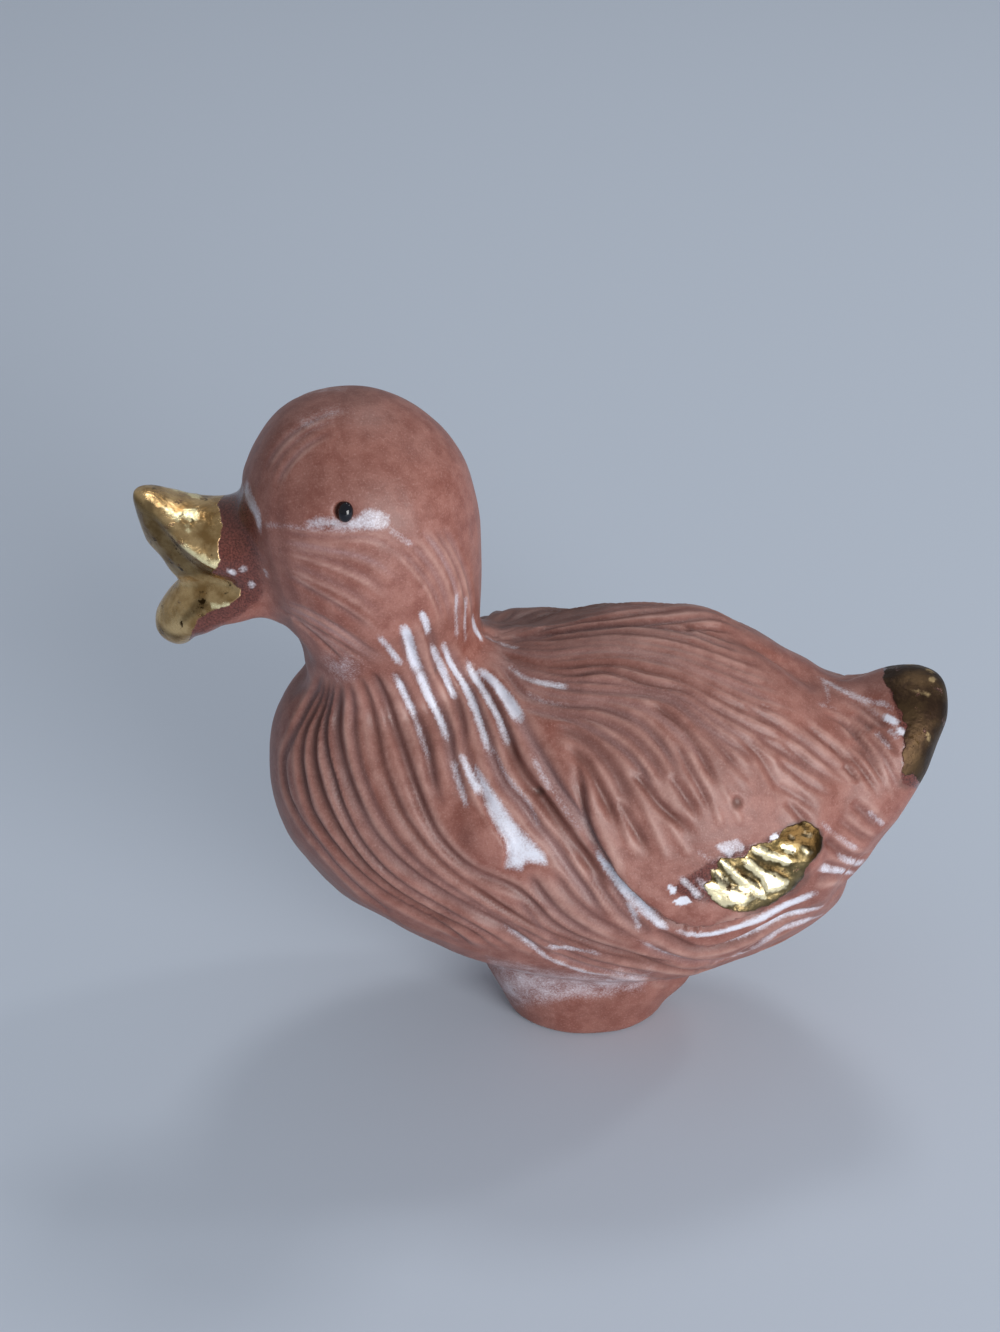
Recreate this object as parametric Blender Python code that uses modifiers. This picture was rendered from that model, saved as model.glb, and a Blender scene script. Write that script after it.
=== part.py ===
"""Terracotta duck figurine with an open bill, folded wings and a cocked tail.

The solids follow the way a potter builds such a small figurine: the torso, head, bills, wings,
tail and foot are formed one by one and luted together with slip before one firing, and the eyes
are beads of enamel. Sizes are in metres. +Z is up, the duck looks along -X and its left side
faces -Y. The origin is the middle of the foot's flat underside.
"""
import math

import bmesh
import bpy
from mathutils import Matrix, Vector
from mathutils.bvhtree import BVHTree

# The seam that slip fills between two members
SLIP_GAP = 0.0003

# Torso: an egg that stands over the foot, blunt at the breast and low at the rump
TORSO_LENGTH = 0.0446
TORSO_WIDTH = 0.0254
TORSO_HEIGHT = 0.0290
BREAST_REACH = 0.0244
BELLY_HEIGHT = 0.0050

# Foot: the one oval pad that the figurine stands on
FOOT_LENGTH = 0.0140
FOOT_WIDTH = 0.0108
FOOT_FLARE = 0.0028
FOOT_SPREAD = 0.0009
FOOT_EDGE_RADIUS = 0.0009
FOOT_SINK = 0.0050

# Head with its neck, whose root is sunk in the torso
HEAD_LENGTH = 0.0170
HEAD_WIDTH = 0.0164
HEAD_HEIGHT = 0.0282
HEAD_AHEAD = 0.0008
NECK_SINK = 0.0086

# Bills: each one's whole member, its rooted end included. The lower one's top stands above the
# upper one's keel by the rise.
UPPER_BILL_LENGTH = 0.0115
UPPER_BILL_WIDTH = 0.0086
UPPER_BILL_HEIGHT = 0.0084
UPPER_BILL_REACH = 0.0077
UPPER_BILL_BELOW_CROWN = 0.0070
LOWER_BILL_LENGTH = 0.0105
LOWER_BILL_WIDTH = 0.0084
LOWER_BILL_HEIGHT = 0.0078
LOWER_BILL_REACH = 0.0069
LOWER_BILL_RISE = 0.0037

# Eyes: enamel beads sunk in sockets
EYE_LENGTH = 0.0008
EYE_HEIGHT = 0.0011
EYE_DEPTH = 0.0009
EYE_PROUD = 0.0002
EYE_GAP = 0.0002
EYE_BELOW_CROWN = 0.0089
EYE_AZIMUTH = math.radians(7.0)
EYE_ELEVATION = math.radians(28.0)

# Tail: a cocked point that caps the rump
TAIL_LENGTH = 0.0170
TAIL_WIDTH = 0.0206
TAIL_HEIGHT = 0.0206
TAIL_REACH = 0.0062
TAIL_DROP = 0.0028

# Wings: clay leaves laid round the torso and the tail's root, with combed tips
WING_LENGTH = 0.0290
WING_SHOULDER = 0.0118
WING_THICKNESS = 0.0015
WING_ROOT_DEPTH = 0.0012
FEATHER_GROOVES = 6
FEATHER_PITCH = 0.0013
FEATHER_GROOVE_RADIUS = 0.00032
FEATHER_SLANT = 0.0018
FEATHER_INSET = 0.0090

# The comb's grooves: the angles in degrees where the first and the last one start and end
FEATHER_TOP = (15.0, 27.0)
FEATHER_END = (-14.0, 4.0)

RING_POINTS = 8
WING_POINTS = 7
GROOVE_STEPS = 6
TUBE_RESOLUTION = 1
WELD_DISTANCE = 0.00001
SMOOTH_LEVELS = 2
WING_LEVELS = 1
EYE_SEGMENTS = 12
EYE_RINGS = 6

TERRACOTTA = (0.42, 0.20, 0.15, 1.0)
GOLD = (0.60, 0.42, 0.16, 1.0)
BLACK_ENAMEL = (0.005, 0.005, 0.02, 1.0)
CLAY_ROUGHNESS = 0.5
LUSTRE_ROUGHNESS = 0.25
ENAMEL_ROUGHNESS = 0.1

# Places that follow from the sizes above
TORSO_BACK = BELLY_HEIGHT + TORSO_HEIGHT
TORSO_AXIS = BELLY_HEIGHT + TORSO_HEIGHT / 2.0
RUMP = TORSO_LENGTH - BREAST_REACH
HEAD_FRONT = -BREAST_REACH - HEAD_AHEAD
HEAD_ROOT = TORSO_BACK - NECK_SINK
CROWN = HEAD_ROOT + HEAD_HEIGHT
HEAD_MIDDLE = HEAD_FRONT + HEAD_LENGTH / 2.0
UPPER_BILL_KEEL = CROWN - UPPER_BILL_BELOW_CROWN - UPPER_BILL_HEIGHT

# Torso sections from breast to rump: the share of the length, the half width as a share of the
# torso's, then the underside, the widest line and the back as shares of the height
TORSO_SECTIONS = (
    (0.000, 0.17, 0.54, 0.61, 0.72),
    (0.060, 0.56, 0.32, 0.59, 0.91),
    (0.180, 0.82, 0.20, 0.55, 0.96),
    (0.350, 0.97, 0.08, 0.50, 0.965),
    (0.540, 1.00, 0.00, 0.48, 0.985),
    (0.720, 0.97, 0.02, 0.48, 1.00),
    (0.860, 0.82, 0.10, 0.45, 0.95),
    (0.965, 0.54, 0.20, 0.41, 0.70),
    (1.000, 0.20, 0.30, 0.38, 0.46),
)

# Head sections from the neck's root to the crown: the share of the height, the front and the
# back as shares of the length, and the half width as a share of the head's
HEAD_SECTIONS = (
    (0.00, 0.22, 1.00, 0.73),
    (0.27, 0.22, 0.99, 0.74),
    (0.38, 0.16, 0.98, 0.84),
    (0.50, 0.07, 1.00, 0.97),
    (0.64, 0.02, 1.00, 1.00),
    (0.77, 0.00, 0.98, 1.00),
    (0.89, 0.06, 0.88, 0.83),
    (0.97, 0.21, 0.71, 0.52),
    (1.00, 0.37, 0.58, 0.20),
)

# Tail sections from the root to the tip: the share of the length, the half width as a share of
# the tail's, then the underside, the widest line and the top as shares of the height
TAIL_SECTIONS = (
    (0.00, 0.90, 0.06, 0.45, 0.93),
    (0.24, 1.00, 0.00, 0.45, 0.98),
    (0.44, 0.97, 0.03, 0.45, 0.96),
    (0.63, 0.74, 0.20, 0.52, 0.95),
    (0.82, 0.54, 0.44, 0.68, 1.00),
    (0.96, 0.33, 0.69, 0.82, 0.97),
    (1.00, 0.12, 0.80, 0.86, 0.91),
)

# Bill sections from tip to root: the share of the length, the half width as a share of the
# bill's, then the underside, the rim and the top as shares of the height
UPPER_BILL_SECTIONS = (
    (0.00, 0.12, 0.90, 0.93, 0.96),
    (0.05, 0.32, 0.50, 0.88, 1.00),
    (0.14, 0.50, 0.20, 0.84, 0.97),
    (0.26, 0.69, 0.02, 0.70, 0.89),
    (0.48, 0.86, 0.00, 0.52, 0.85),
    (0.74, 0.98, 0.00, 0.40, 0.97),
    (1.00, 1.00, 0.00, 0.34, 1.00),
)
UPPER_BILL_PINCH = 0.62
LOWER_BILL_SECTIONS = (
    (0.00, 0.16, 0.16, 0.24, 0.32),
    (0.05, 0.34, 0.06, 0.24, 0.44),
    (0.14, 0.55, 0.00, 0.29, 0.60),
    (0.27, 0.70, 0.00, 0.40, 0.74),
    (0.48, 0.85, 0.10, 0.60, 0.84),
    (0.72, 0.96, 0.22, 0.78, 0.96),
    (1.00, 1.00, 0.26, 0.84, 1.00),
)

# Foot sections from the floor up: the share of the height, and the share of the widening that
# it has at the belly
FOOT_SECTIONS = (
    (0.15, 0.15),
    (0.55, 1.00),
    (1.00, 1.40),
)

# Wing stations from shoulder to tip: where along the wing its upper and its lower edge lie, the
# two edges' angles above the torso's widest line, and the thickness as a share of the wing's
WING_STATIONS = (
    (0.00, 0.10, 91.0, 63.0, 0.50),
    (0.14, 0.23, 91.0, 47.0, 0.70),
    (0.34, 0.38, 91.0, 22.0, 0.90),
    (0.52, 0.54, 91.0, -5.0, 1.00),
    (0.68, 0.73, 91.0, -13.0, 1.00),
    (0.83, 0.88, 90.0, -7.0, 0.90),
    (0.95, 0.97, 88.0, 8.0, 0.70),
    (1.00, 1.00, 82.0, 20.0, 0.45),
)


def clear_scene():
    """Removes every object, so that the figurine stands alone."""
    for obj in list(bpy.data.objects):
        bpy.data.objects.remove(obj, do_unlink=True)


def new_collection(name):
    """A collection of that name in the scene."""
    made = bpy.data.collections.new(name)
    bpy.context.scene.collection.children.link(made)
    return made


def new_material(name, colour, roughness, metallic=0.0):
    """A Principled material of one colour."""
    made = bpy.data.materials.new(name)
    made.use_nodes = True
    shader = made.node_tree.nodes["Principled BSDF"]
    shader.inputs["Base Color"].default_value = colour
    shader.inputs["Roughness"].default_value = roughness
    shader.inputs["Metallic"].default_value = metallic
    return made


def clay(name):
    """The fired clay of one member."""
    return new_material(name + "_clay", TERRACOTTA, CLAY_ROUGHNESS)


def lustre(name):
    """The gold lustre over a bill."""
    return new_material(name + "_lustre", GOLD, LUSTRE_ROUGHNESS, metallic=1.0)


def new_part(name, mesh, collection, material):
    """A sub-part: an object of that mesh, shaded smooth."""
    mesh.name = name
    mesh.materials.clear()
    mesh.materials.append(material)
    mesh.shade_smooth()
    made = bpy.data.objects.new(name, mesh)
    collection.objects.link(made)
    return made


def new_cutter(name, mesh, collection):
    """A helper that is cut away and never shown."""
    made = bpy.data.objects.new(name, mesh)
    made.hide_render = True
    made.display_type = "WIRE"
    collection.objects.link(made)
    return made


def cut(obj, *cutters, solver="EXACT"):
    """Takes the cutters away from the object, one after the other.

    The exact solver loses a wing or the lower bill at some sizes, because they meet their
    neighbours at shallow angles, so those are cut with the manifold solver.
    """
    for cutter in cutters:
        modifier = obj.modifiers.new("less_" + cutter.name, "BOOLEAN")
        modifier.operation = "DIFFERENCE"
        modifier.solver = solver
        modifier.object = cutter


def evaluated(mesh, kind, **settings):
    """The mesh with one modifier applied."""
    helper = bpy.data.objects.new("helper", mesh)
    bpy.context.scene.collection.objects.link(helper)
    modifier = helper.modifiers.new(kind, kind)
    for key, value in settings.items():
        setattr(modifier, key, value)
    graph = bpy.context.evaluated_depsgraph_get()
    made = bpy.data.meshes.new_from_object(helper.evaluated_get(graph))
    bpy.data.objects.remove(helper)
    return made


def offset(mesh, distance):
    """A copy of the mesh moved out along its normals, or in where the distance is negative."""
    return evaluated(mesh, "DISPLACE", strength=distance, mid_level=0.0)


def loft(rings, levels=SMOOTH_LEVELS):
    """A closed soft form over rings of points, smoothed by subdivision."""
    cage = bmesh.new()
    loops = [[cage.verts.new(point) for point in ring] for ring in rings]
    count = len(loops[0])
    for near, far in zip(loops, loops[1:]):
        for i in range(count):
            j = (i + 1) % count
            cage.faces.new((near[i], near[j], far[j], far[i]))
    cage.faces.new(loops[0])
    cage.faces.new(loops[-1])
    bmesh.ops.recalc_face_normals(cage, faces=cage.faces)
    mesh = bpy.data.meshes.new("loft")
    cage.to_mesh(mesh)
    cage.free()
    return evaluated(mesh, "SUBSURF", levels=levels, render_levels=levels)


def fit_to_box(mesh, low, size):
    """Stretches the mesh so that its box starts at that corner and has that size."""
    for i in range(3):
        values = [vertex.co[i] for vertex in mesh.vertices]
        least = min(values)
        scale = size[i] / (max(values) - least)
        for vertex in mesh.vertices:
            vertex.co[i] = low[i] + (vertex.co[i] - least) * scale
    return mesh


def oval(half_width, under, widest, top, pinch=1.0):
    """An upright oval as (across, up) pairs, its lower half drawn in by the pinch."""
    made = []
    for i in range(RING_POINTS):
        angle = math.tau * i / RING_POINTS
        across = half_width * math.cos(angle)
        if i <= RING_POINTS / 2:
            made.append((across, widest + (top - widest) * math.sin(angle)))
        else:
            made.append((across * pinch, widest + (widest - under) * math.sin(angle)))
    return made


def long_form(sections, low, size, pinch=1.0):
    """A form lofted along X, fitted to its box."""
    rings = []
    for along, wide, under, widest, top in sections:
        outline = oval(wide / 2.0, under, widest, top, pinch)
        rings.append([(along, across, up) for across, up in outline])
    return fit_to_box(loft(rings), low, size)


def torso_form():
    """The egg of the torso, lofted from the breast to the rump."""
    low = (-BREAST_REACH, -TORSO_WIDTH / 2.0, BELLY_HEIGHT)
    return long_form(TORSO_SECTIONS, low, (TORSO_LENGTH, TORSO_WIDTH, TORSO_HEIGHT))


def head_form():
    """The head and neck, lofted upwards."""
    rings = []
    for up, front, back, wide in HEAD_SECTIONS:
        middle = (front + back) / 2.0
        reach = (back - front) / 2.0
        ring = []
        for i in range(RING_POINTS):
            angle = math.tau * i / RING_POINTS
            ring.append((middle + reach * math.cos(angle), wide * math.sin(angle), up))
        rings.append(ring)
    low = (HEAD_FRONT, -HEAD_WIDTH / 2.0, HEAD_ROOT)
    return fit_to_box(loft(rings), low, (HEAD_LENGTH, HEAD_WIDTH, HEAD_HEIGHT))


def tail_form():
    """The cocked tail and the cap of the rump that carries it."""
    low = (RUMP + TAIL_REACH - TAIL_LENGTH, -TAIL_WIDTH / 2.0, TORSO_BACK - TAIL_DROP - TAIL_HEIGHT)
    return long_form(TAIL_SECTIONS, low, (TAIL_LENGTH, TAIL_WIDTH, TAIL_HEIGHT))


def upper_bill_form():
    """The raised upper bill, keeled below its rim."""
    low = (HEAD_FRONT - UPPER_BILL_REACH, -UPPER_BILL_WIDTH / 2.0, UPPER_BILL_KEEL)
    size = (UPPER_BILL_LENGTH, UPPER_BILL_WIDTH, UPPER_BILL_HEIGHT)
    return long_form(UPPER_BILL_SECTIONS, low, size, pinch=UPPER_BILL_PINCH)


def lower_bill_form():
    """The dropped lower bill with the tongue's swell on it."""
    low = (HEAD_FRONT - LOWER_BILL_REACH, -LOWER_BILL_WIDTH / 2.0,
           UPPER_BILL_KEEL + LOWER_BILL_RISE - LOWER_BILL_HEIGHT)
    size = (LOWER_BILL_LENGTH, LOWER_BILL_WIDTH, LOWER_BILL_HEIGHT)
    return long_form(LOWER_BILL_SECTIONS, low, size)


def foot_form():
    """The pad on the floor, rounded at its edge and widened up into the belly."""
    height = BELLY_HEIGHT + FOOT_SINK
    rings = [(0.0, -FOOT_EDGE_RADIUS, -FOOT_EDGE_RADIUS), (0.0, 0.0, 0.0)]
    rings += [(up * height, wide * FOOT_FLARE, wide * FOOT_SPREAD) for up, wide in FOOT_SECTIONS]
    made = []
    for up, along, across in rings:
        ring = []
        for i in range(RING_POINTS):
            angle = math.tau * i / RING_POINTS
            ring.append(((FOOT_LENGTH / 2.0 + along) * math.cos(angle),
                         (FOOT_WIDTH / 2.0 + across) * math.sin(angle), up))
        made.append(ring)
    return loft(made)


def surface_of(mesh):
    """A tree that finds points on the mesh's surface."""
    source = bmesh.new()
    source.from_mesh(mesh)
    tree = BVHTree.FromBMesh(source)
    source.free()
    return tree


def outer_hit(surfaces, along, out):
    """Where the outermost of some surfaces lies on a ray from the torso's axis, if it is there."""
    axis = Vector((along, 0.0, TORSO_AXIS))
    hits = [surface.ray_cast(axis + out * TORSO_LENGTH, -out)[0] for surface in surfaces]
    return max((hit for hit in hits if hit), key=lambda hit: (hit - axis).length, default=None)


def outward(angle, side):
    """The direction square to X at that angle in degrees above the horizontal, on one side."""
    return Vector((0.0, side * math.cos(math.radians(angle)), math.sin(math.radians(angle))))


def with_halfway_rows(rows):
    """The rows of a table with their means between them."""
    made = [rows[0]]
    for before, after in zip(rows, rows[1:]):
        made.append(tuple((a + b) / 2.0 for a, b in zip(before, after)))
        made.append(after)
    return made


def wing_form(body, side):
    """A leaf of clay that follows the body at every station, from its shoulder to its tip."""
    rings = []
    for upper, lower, upper_angle, lower_angle, thickness in with_halfway_rows(WING_STATIONS):
        outer = []
        inner = []
        for i in range(WING_POINTS):
            share = i / (WING_POINTS - 1)
            out = outward(upper_angle + (lower_angle - upper_angle) * share, side)
            along = -WING_SHOULDER + WING_LENGTH * (upper + (lower - upper) * share)
            hit = outer_hit(body, along, out)
            outer.append(hit + out * WING_THICKNESS * thickness)
            inner.append(hit - out * WING_ROOT_DEPTH)
        rings.append(outer + inner[::-1])
    return loft(rings, WING_LEVELS)


def tubes(routes, radius):
    """Round bars with closed ends, each along a list of points."""
    curve = bpy.data.curves.new("tubes", "CURVE")
    curve.dimensions = "3D"
    curve.bevel_depth = radius
    curve.bevel_resolution = TUBE_RESOLUTION
    curve.use_fill_caps = True
    for route in routes:
        spline = curve.splines.new("POLY")
        spline.points.add(len(route) - 1)
        for point, place in zip(spline.points, route):
            point.co = (*place, 1.0)
    helper = bpy.data.objects.new("helper", curve)
    bpy.context.scene.collection.objects.link(helper)
    graph = bpy.context.evaluated_depsgraph_get()
    mesh = bpy.data.meshes.new_from_object(helper.evaluated_get(graph))
    bpy.data.objects.remove(helper)
    welded = bmesh.new()
    welded.from_mesh(mesh)
    bmesh.ops.remove_doubles(welded, verts=welded.verts, dist=WELD_DISTANCE)
    bmesh.ops.recalc_face_normals(welded, faces=welded.faces)
    welded.to_mesh(mesh)
    welded.free()
    return mesh


def feather_comb(body, wing, side):
    """Slanting grooves along a wing's outer side that run out over the edge of its tip."""
    tip = WING_LENGTH - WING_SHOULDER
    routes = []
    for groove in range(FEATHER_GROOVES):
        along = tip - FEATHER_INSET + groove * FEATHER_PITCH
        raised = groove / (FEATHER_GROOVES - 1)
        upper = FEATHER_TOP[0] + (FEATHER_TOP[1] - FEATHER_TOP[0]) * raised
        lower = FEATHER_END[0] + (FEATHER_END[1] - FEATHER_END[0]) * raised
        route = []
        height = 0.0
        for step in range(GROOVE_STEPS + 1):
            share = step / GROOVE_STEPS
            out = outward(upper + (lower - upper) * share, side)
            ground = outer_hit(body, along + FEATHER_SLANT * share, out)
            crest = outer_hit([wing], along + FEATHER_SLANT * share, out)
            if crest:
                height = max(height, (crest - ground).length)
            route.append(ground + out * height)
        routes.append(route)
    return tubes(routes, FEATHER_GROOVE_RADIUS)


def ellipsoid(length, depth, height, place):
    """An ellipsoid with that placement."""
    made = bmesh.new()
    bmesh.ops.create_uvsphere(made, u_segments=EYE_SEGMENTS, v_segments=EYE_RINGS, radius=0.5,
                              matrix=place @ Matrix.Diagonal((length, depth, height, 1.0)))
    mesh = bpy.data.meshes.new("ellipsoid")
    made.to_mesh(mesh)
    made.free()
    return mesh


def far_side(side):
    """A block over everything beyond the seam down the back, seen from one wing."""
    made = bmesh.new()
    middle = Vector((0.0, -side * (TORSO_WIDTH - SLIP_GAP) / 2.0, TORSO_AXIS))
    size = Matrix.Diagonal((2.0 * TORSO_LENGTH, TORSO_WIDTH, 2.0 * TORSO_HEIGHT, 1.0))
    bmesh.ops.create_cube(made, size=1.0, matrix=Matrix.Translation(middle) @ size)
    mesh = bpy.data.meshes.new("block")
    made.to_mesh(mesh)
    made.free()
    return mesh


def eye_place(head, side):
    """Where an eye's bead sits: on the head's skin, its depth square to it."""
    out = Vector((-math.sin(EYE_AZIMUTH) * math.cos(EYE_ELEVATION),
                  side * math.cos(EYE_AZIMUTH) * math.cos(EYE_ELEVATION), math.sin(EYE_ELEVATION)))
    centre = Vector((HEAD_MIDDLE, 0.0, CROWN - EYE_BELOW_CROWN))
    hit = head.ray_cast(centre, out)[0]
    turn = out.to_track_quat("Y", "Z").to_matrix().to_4x4()
    return Matrix.Translation(hit + out * (EYE_PROUD - EYE_DEPTH / 2.0)) @ turn


def main():
    clear_scene()
    parts = new_collection("terracotta_duck")
    cutters = new_collection("cutters")

    torso_mesh = torso_form()
    head_mesh = head_form()
    tail_mesh = tail_form()
    upper_bill_mesh = upper_bill_form()
    torso_skin = new_cutter("torso_skin", offset(torso_mesh, SLIP_GAP), cutters)
    head_skin = new_cutter("head_skin", offset(head_mesh, SLIP_GAP), cutters)
    tail_skin = new_cutter("tail_skin", offset(tail_mesh, SLIP_GAP), cutters)
    upper_bill_skin = new_cutter("upper_bill_skin", offset(upper_bill_mesh, SLIP_GAP), cutters)

    new_part("torso", torso_mesh, parts, clay("torso"))
    head = new_part("head", head_mesh, parts, clay("head"))
    cut(head, torso_skin)

    tail = new_part("tail", tail_mesh, parts, clay("tail"))
    cut(tail, torso_skin)
    foot = new_part("foot", foot_form(), parts, clay("foot"))
    cut(foot, torso_skin)

    upper_bill = new_part("upper_bill", upper_bill_mesh, parts, lustre("upper_bill"))
    cut(upper_bill, head_skin)
    lower_bill = new_part("lower_bill", lower_bill_form(), parts, lustre("lower_bill"))
    cut(lower_bill, upper_bill_skin, head_skin, solver="MANIFOLD")

    body = [surface_of(torso_mesh), surface_of(tail_mesh)]
    head_surface = surface_of(head_mesh)
    for name, side in (("left", -1.0), ("right", 1.0)):
        wing_mesh = wing_form(body, side)
        comb = new_cutter(name + "_comb", feather_comb(body, surface_of(wing_mesh), side), cutters)
        beyond = new_cutter(name + "_beyond", far_side(side), cutters)
        wing = new_part(name + "_wing", wing_mesh, parts, clay(name + "_wing"))
        cut(wing, comb, beyond, torso_skin, tail_skin, head_skin, solver="MANIFOLD")

        place = eye_place(head_surface, side)
        socket_size = (size + 2.0 * EYE_GAP for size in (EYE_LENGTH, EYE_DEPTH, EYE_HEIGHT))
        socket = new_cutter(name + "_socket", ellipsoid(*socket_size, place), cutters)
        cut(head, socket)
        new_part(name + "_eye", ellipsoid(EYE_LENGTH, EYE_DEPTH, EYE_HEIGHT, place), parts,
                 new_material(name + "_eye_enamel", BLACK_ENAMEL, ENAMEL_ROUGHNESS))


main()
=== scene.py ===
"""Terracotta duck figurine, dressed: combed clay, pooled glaze, gold lustre and enamel eyes."""
import math
import random

import bmesh
import bpy
import numpy as np
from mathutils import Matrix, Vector, kdtree, noise
from mathutils.bvhtree import BVHTree


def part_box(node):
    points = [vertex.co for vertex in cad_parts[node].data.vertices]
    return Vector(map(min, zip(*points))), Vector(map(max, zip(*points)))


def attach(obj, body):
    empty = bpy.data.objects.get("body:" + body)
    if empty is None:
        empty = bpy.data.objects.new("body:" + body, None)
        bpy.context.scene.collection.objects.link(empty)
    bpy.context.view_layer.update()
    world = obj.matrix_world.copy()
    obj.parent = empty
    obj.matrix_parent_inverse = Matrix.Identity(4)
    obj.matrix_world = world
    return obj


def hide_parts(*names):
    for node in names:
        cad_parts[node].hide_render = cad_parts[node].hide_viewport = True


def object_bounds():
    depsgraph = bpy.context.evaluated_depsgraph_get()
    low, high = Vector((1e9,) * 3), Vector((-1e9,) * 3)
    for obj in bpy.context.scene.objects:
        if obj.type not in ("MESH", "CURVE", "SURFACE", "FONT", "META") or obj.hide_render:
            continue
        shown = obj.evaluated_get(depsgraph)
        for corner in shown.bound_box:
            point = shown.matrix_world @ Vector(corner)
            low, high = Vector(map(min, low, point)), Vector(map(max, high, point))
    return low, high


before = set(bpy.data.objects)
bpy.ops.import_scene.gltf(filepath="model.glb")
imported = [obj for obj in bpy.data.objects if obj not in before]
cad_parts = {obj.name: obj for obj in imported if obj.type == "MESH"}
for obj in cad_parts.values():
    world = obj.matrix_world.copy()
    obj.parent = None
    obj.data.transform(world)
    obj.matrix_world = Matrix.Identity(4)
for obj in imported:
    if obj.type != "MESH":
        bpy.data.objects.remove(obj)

bl_info = {
    "name": "Terracotta duck figurine",
    "version": (1, 0, 0),
    "blender": (4, 5, 0),
    "location": "3D View > Sidebar > Duck",
    "description": "Combs, glazes and gilds the clay members of a small duck figurine",
    "category": "Add Mesh",
}

CAD_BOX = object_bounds()
MM = 0.001

# The axes by number, and a distance in mm past the whole duck
X = 0
Z = 2
FAR = 1000.0

# The clay members under the one fired skin, each with its slot, in the order in which they are
# cut from the skin. The torso is what is left.
MEMBERS = {
    "upper_bill": "bill_lustre",
    "lower_bill": "bill_lustre",
    "head": "head_clay",
    "left_wing": "wing_clay",
    "right_wing": "wing_clay",
    "tail": "tail_clay",
    "foot": "foot_clay",
    "torso": "torso_clay",
}

# The camera stands where the photograph was taken: metres, degrees below the horizon, and the
# focal length in pixels of the frame
CAMERA_PLACE = Vector((-0.006912, -0.145140, 0.122499))
CAMERA_DOWN = math.radians(32.0)
FRAME_WIDTH = 1000
FRAME_HEIGHT = 1332
FOCAL_PIXELS = 2314.08
SENSOR = 36.0

# What a pixel of the frame spans on the near side of the duck
PIXEL_MM = 0.075

# How finely the members' triangles are merged and the strokes are followed: mm and pixels
WELD = 0.002
STROKE_STEP = 0.9

# How far past its half width a stroke still presses, how many points of it fade in and out, and
# how wide the light line along its crest is, as a share of its reach
STROKE_SPREAD = 1.35
GROOVE_SPREAD = 1.4
FADE_IN = 25.0
FADE_OUT = 50.0
CREST_SHARE = 0.42

# What the skin's width is drawn in to, and how many mm its ridges stay below the solids' box
WIDTH_SHARE = 0.985
BOX_MARGIN = 0.01

# How sharp a lip's edge is, how wide a pool of glaze is at full strength and at least, and how far
# from the middle plane the pools end on the near and the far side: mm
LIP_EDGE = 0.16
POOL_FULL = 0.34
POOL_LEAST = 0.36
POOL_NEAR = 1.0
POOL_FAR = -6.5

# The furrow depth that the material darkens fully, partly as painted shade, and the depth that
# leaves no crest: mm
FURROW_FULL = 0.35
FURROW_SHARP = 0.25

# Lumps to a metre in the hand-worked clay, so that each is about 3 mm long
LUMPS = 350.0

# A distance in mm that stands for outside of every outline, and the flank's least distance in mm
# from the middle plane, for what only the flank carries
OUTSIDE = -2.0
FLANK_FROM = 7.5

# How far a member's cutter stands over its solid, the size of the cutter's faces, and how far a
# cut piece's corner may lie from the skin that it came from: mm
CUTTER_MARGIN = 0.5
CUTTER_GRAIN = 0.4
SKIN_REACH = 0.2

# How much each eye's enamel swells along x, y and z, and how far back it lies in mm
EYE_SWELL = (1.42, 1.2, 1.38)
EYE_BACK = 0.26

# The numbers that start the order of the random draws
BETWEEN_SEED = 4
COMB_SEED = 11

# What the materials read from the skin: depth of the furrow, which darkens it partly as painted
# shade, light line of the crest, partly dust and partly painted sheen, milky haze, glaze that ran
# together with painted white glints, brown glaze and painted shade, and mm inside the gold, the
# red-brown glaze and the painted highlights
LAYERS = ("furrow", "crest", "haze", "pool_and_glint", "shade", "gold", "wine", "painted_highlight")

# Steps of a material's recipe: kind of node, its output, its settings, and the inputs that a row
# of the recipe fills in this order
SUM = ("ShaderNodeMath", 0, {"operation": "ADD"}, (0, 1))
LESS = ("ShaderNodeMath", 0, {"operation": "SUBTRACT"}, (0, 1))
TIMES = ("ShaderNodeMath", 0, {"operation": "MULTIPLY"}, (0, 1))
RAMP = ("ShaderNodeMapRange", 0, {"interpolation_type": "SMOOTHSTEP"},
        ("Value", "From Min", "From Max", "To Max"))
TINT = ("ShaderNodeMix", "Result", {"data_type": "RGBA"}, ("Factor", "A", "B"))
BLEND = ("ShaderNodeMix", "Result", {"data_type": "FLOAT"}, ("Factor", "A", "B"))
BUMP = ("ShaderNodeBump", "Normal", {}, ("Height", "Distance", "Strength"))

# The noises that the fired clay is painted with: size in mm, detail, roughness
NOISES = (
    ("cloud", 9.1, 3.0, 0.6),
    ("patch", 1.92, 4.0, 0.6),
    ("mottle", 1.43, 5.0, 0.6),
    ("stain", 1.25, 5.0, 0.7),
    ("wear", 1.11, 5.0, 0.7),
    ("hammer", 1.11, 2.0, 0.6),
    ("ragged", 0.714, 4.0, 0.6),
    ("dust", 0.143, 3.0, 0.65),
)

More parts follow.
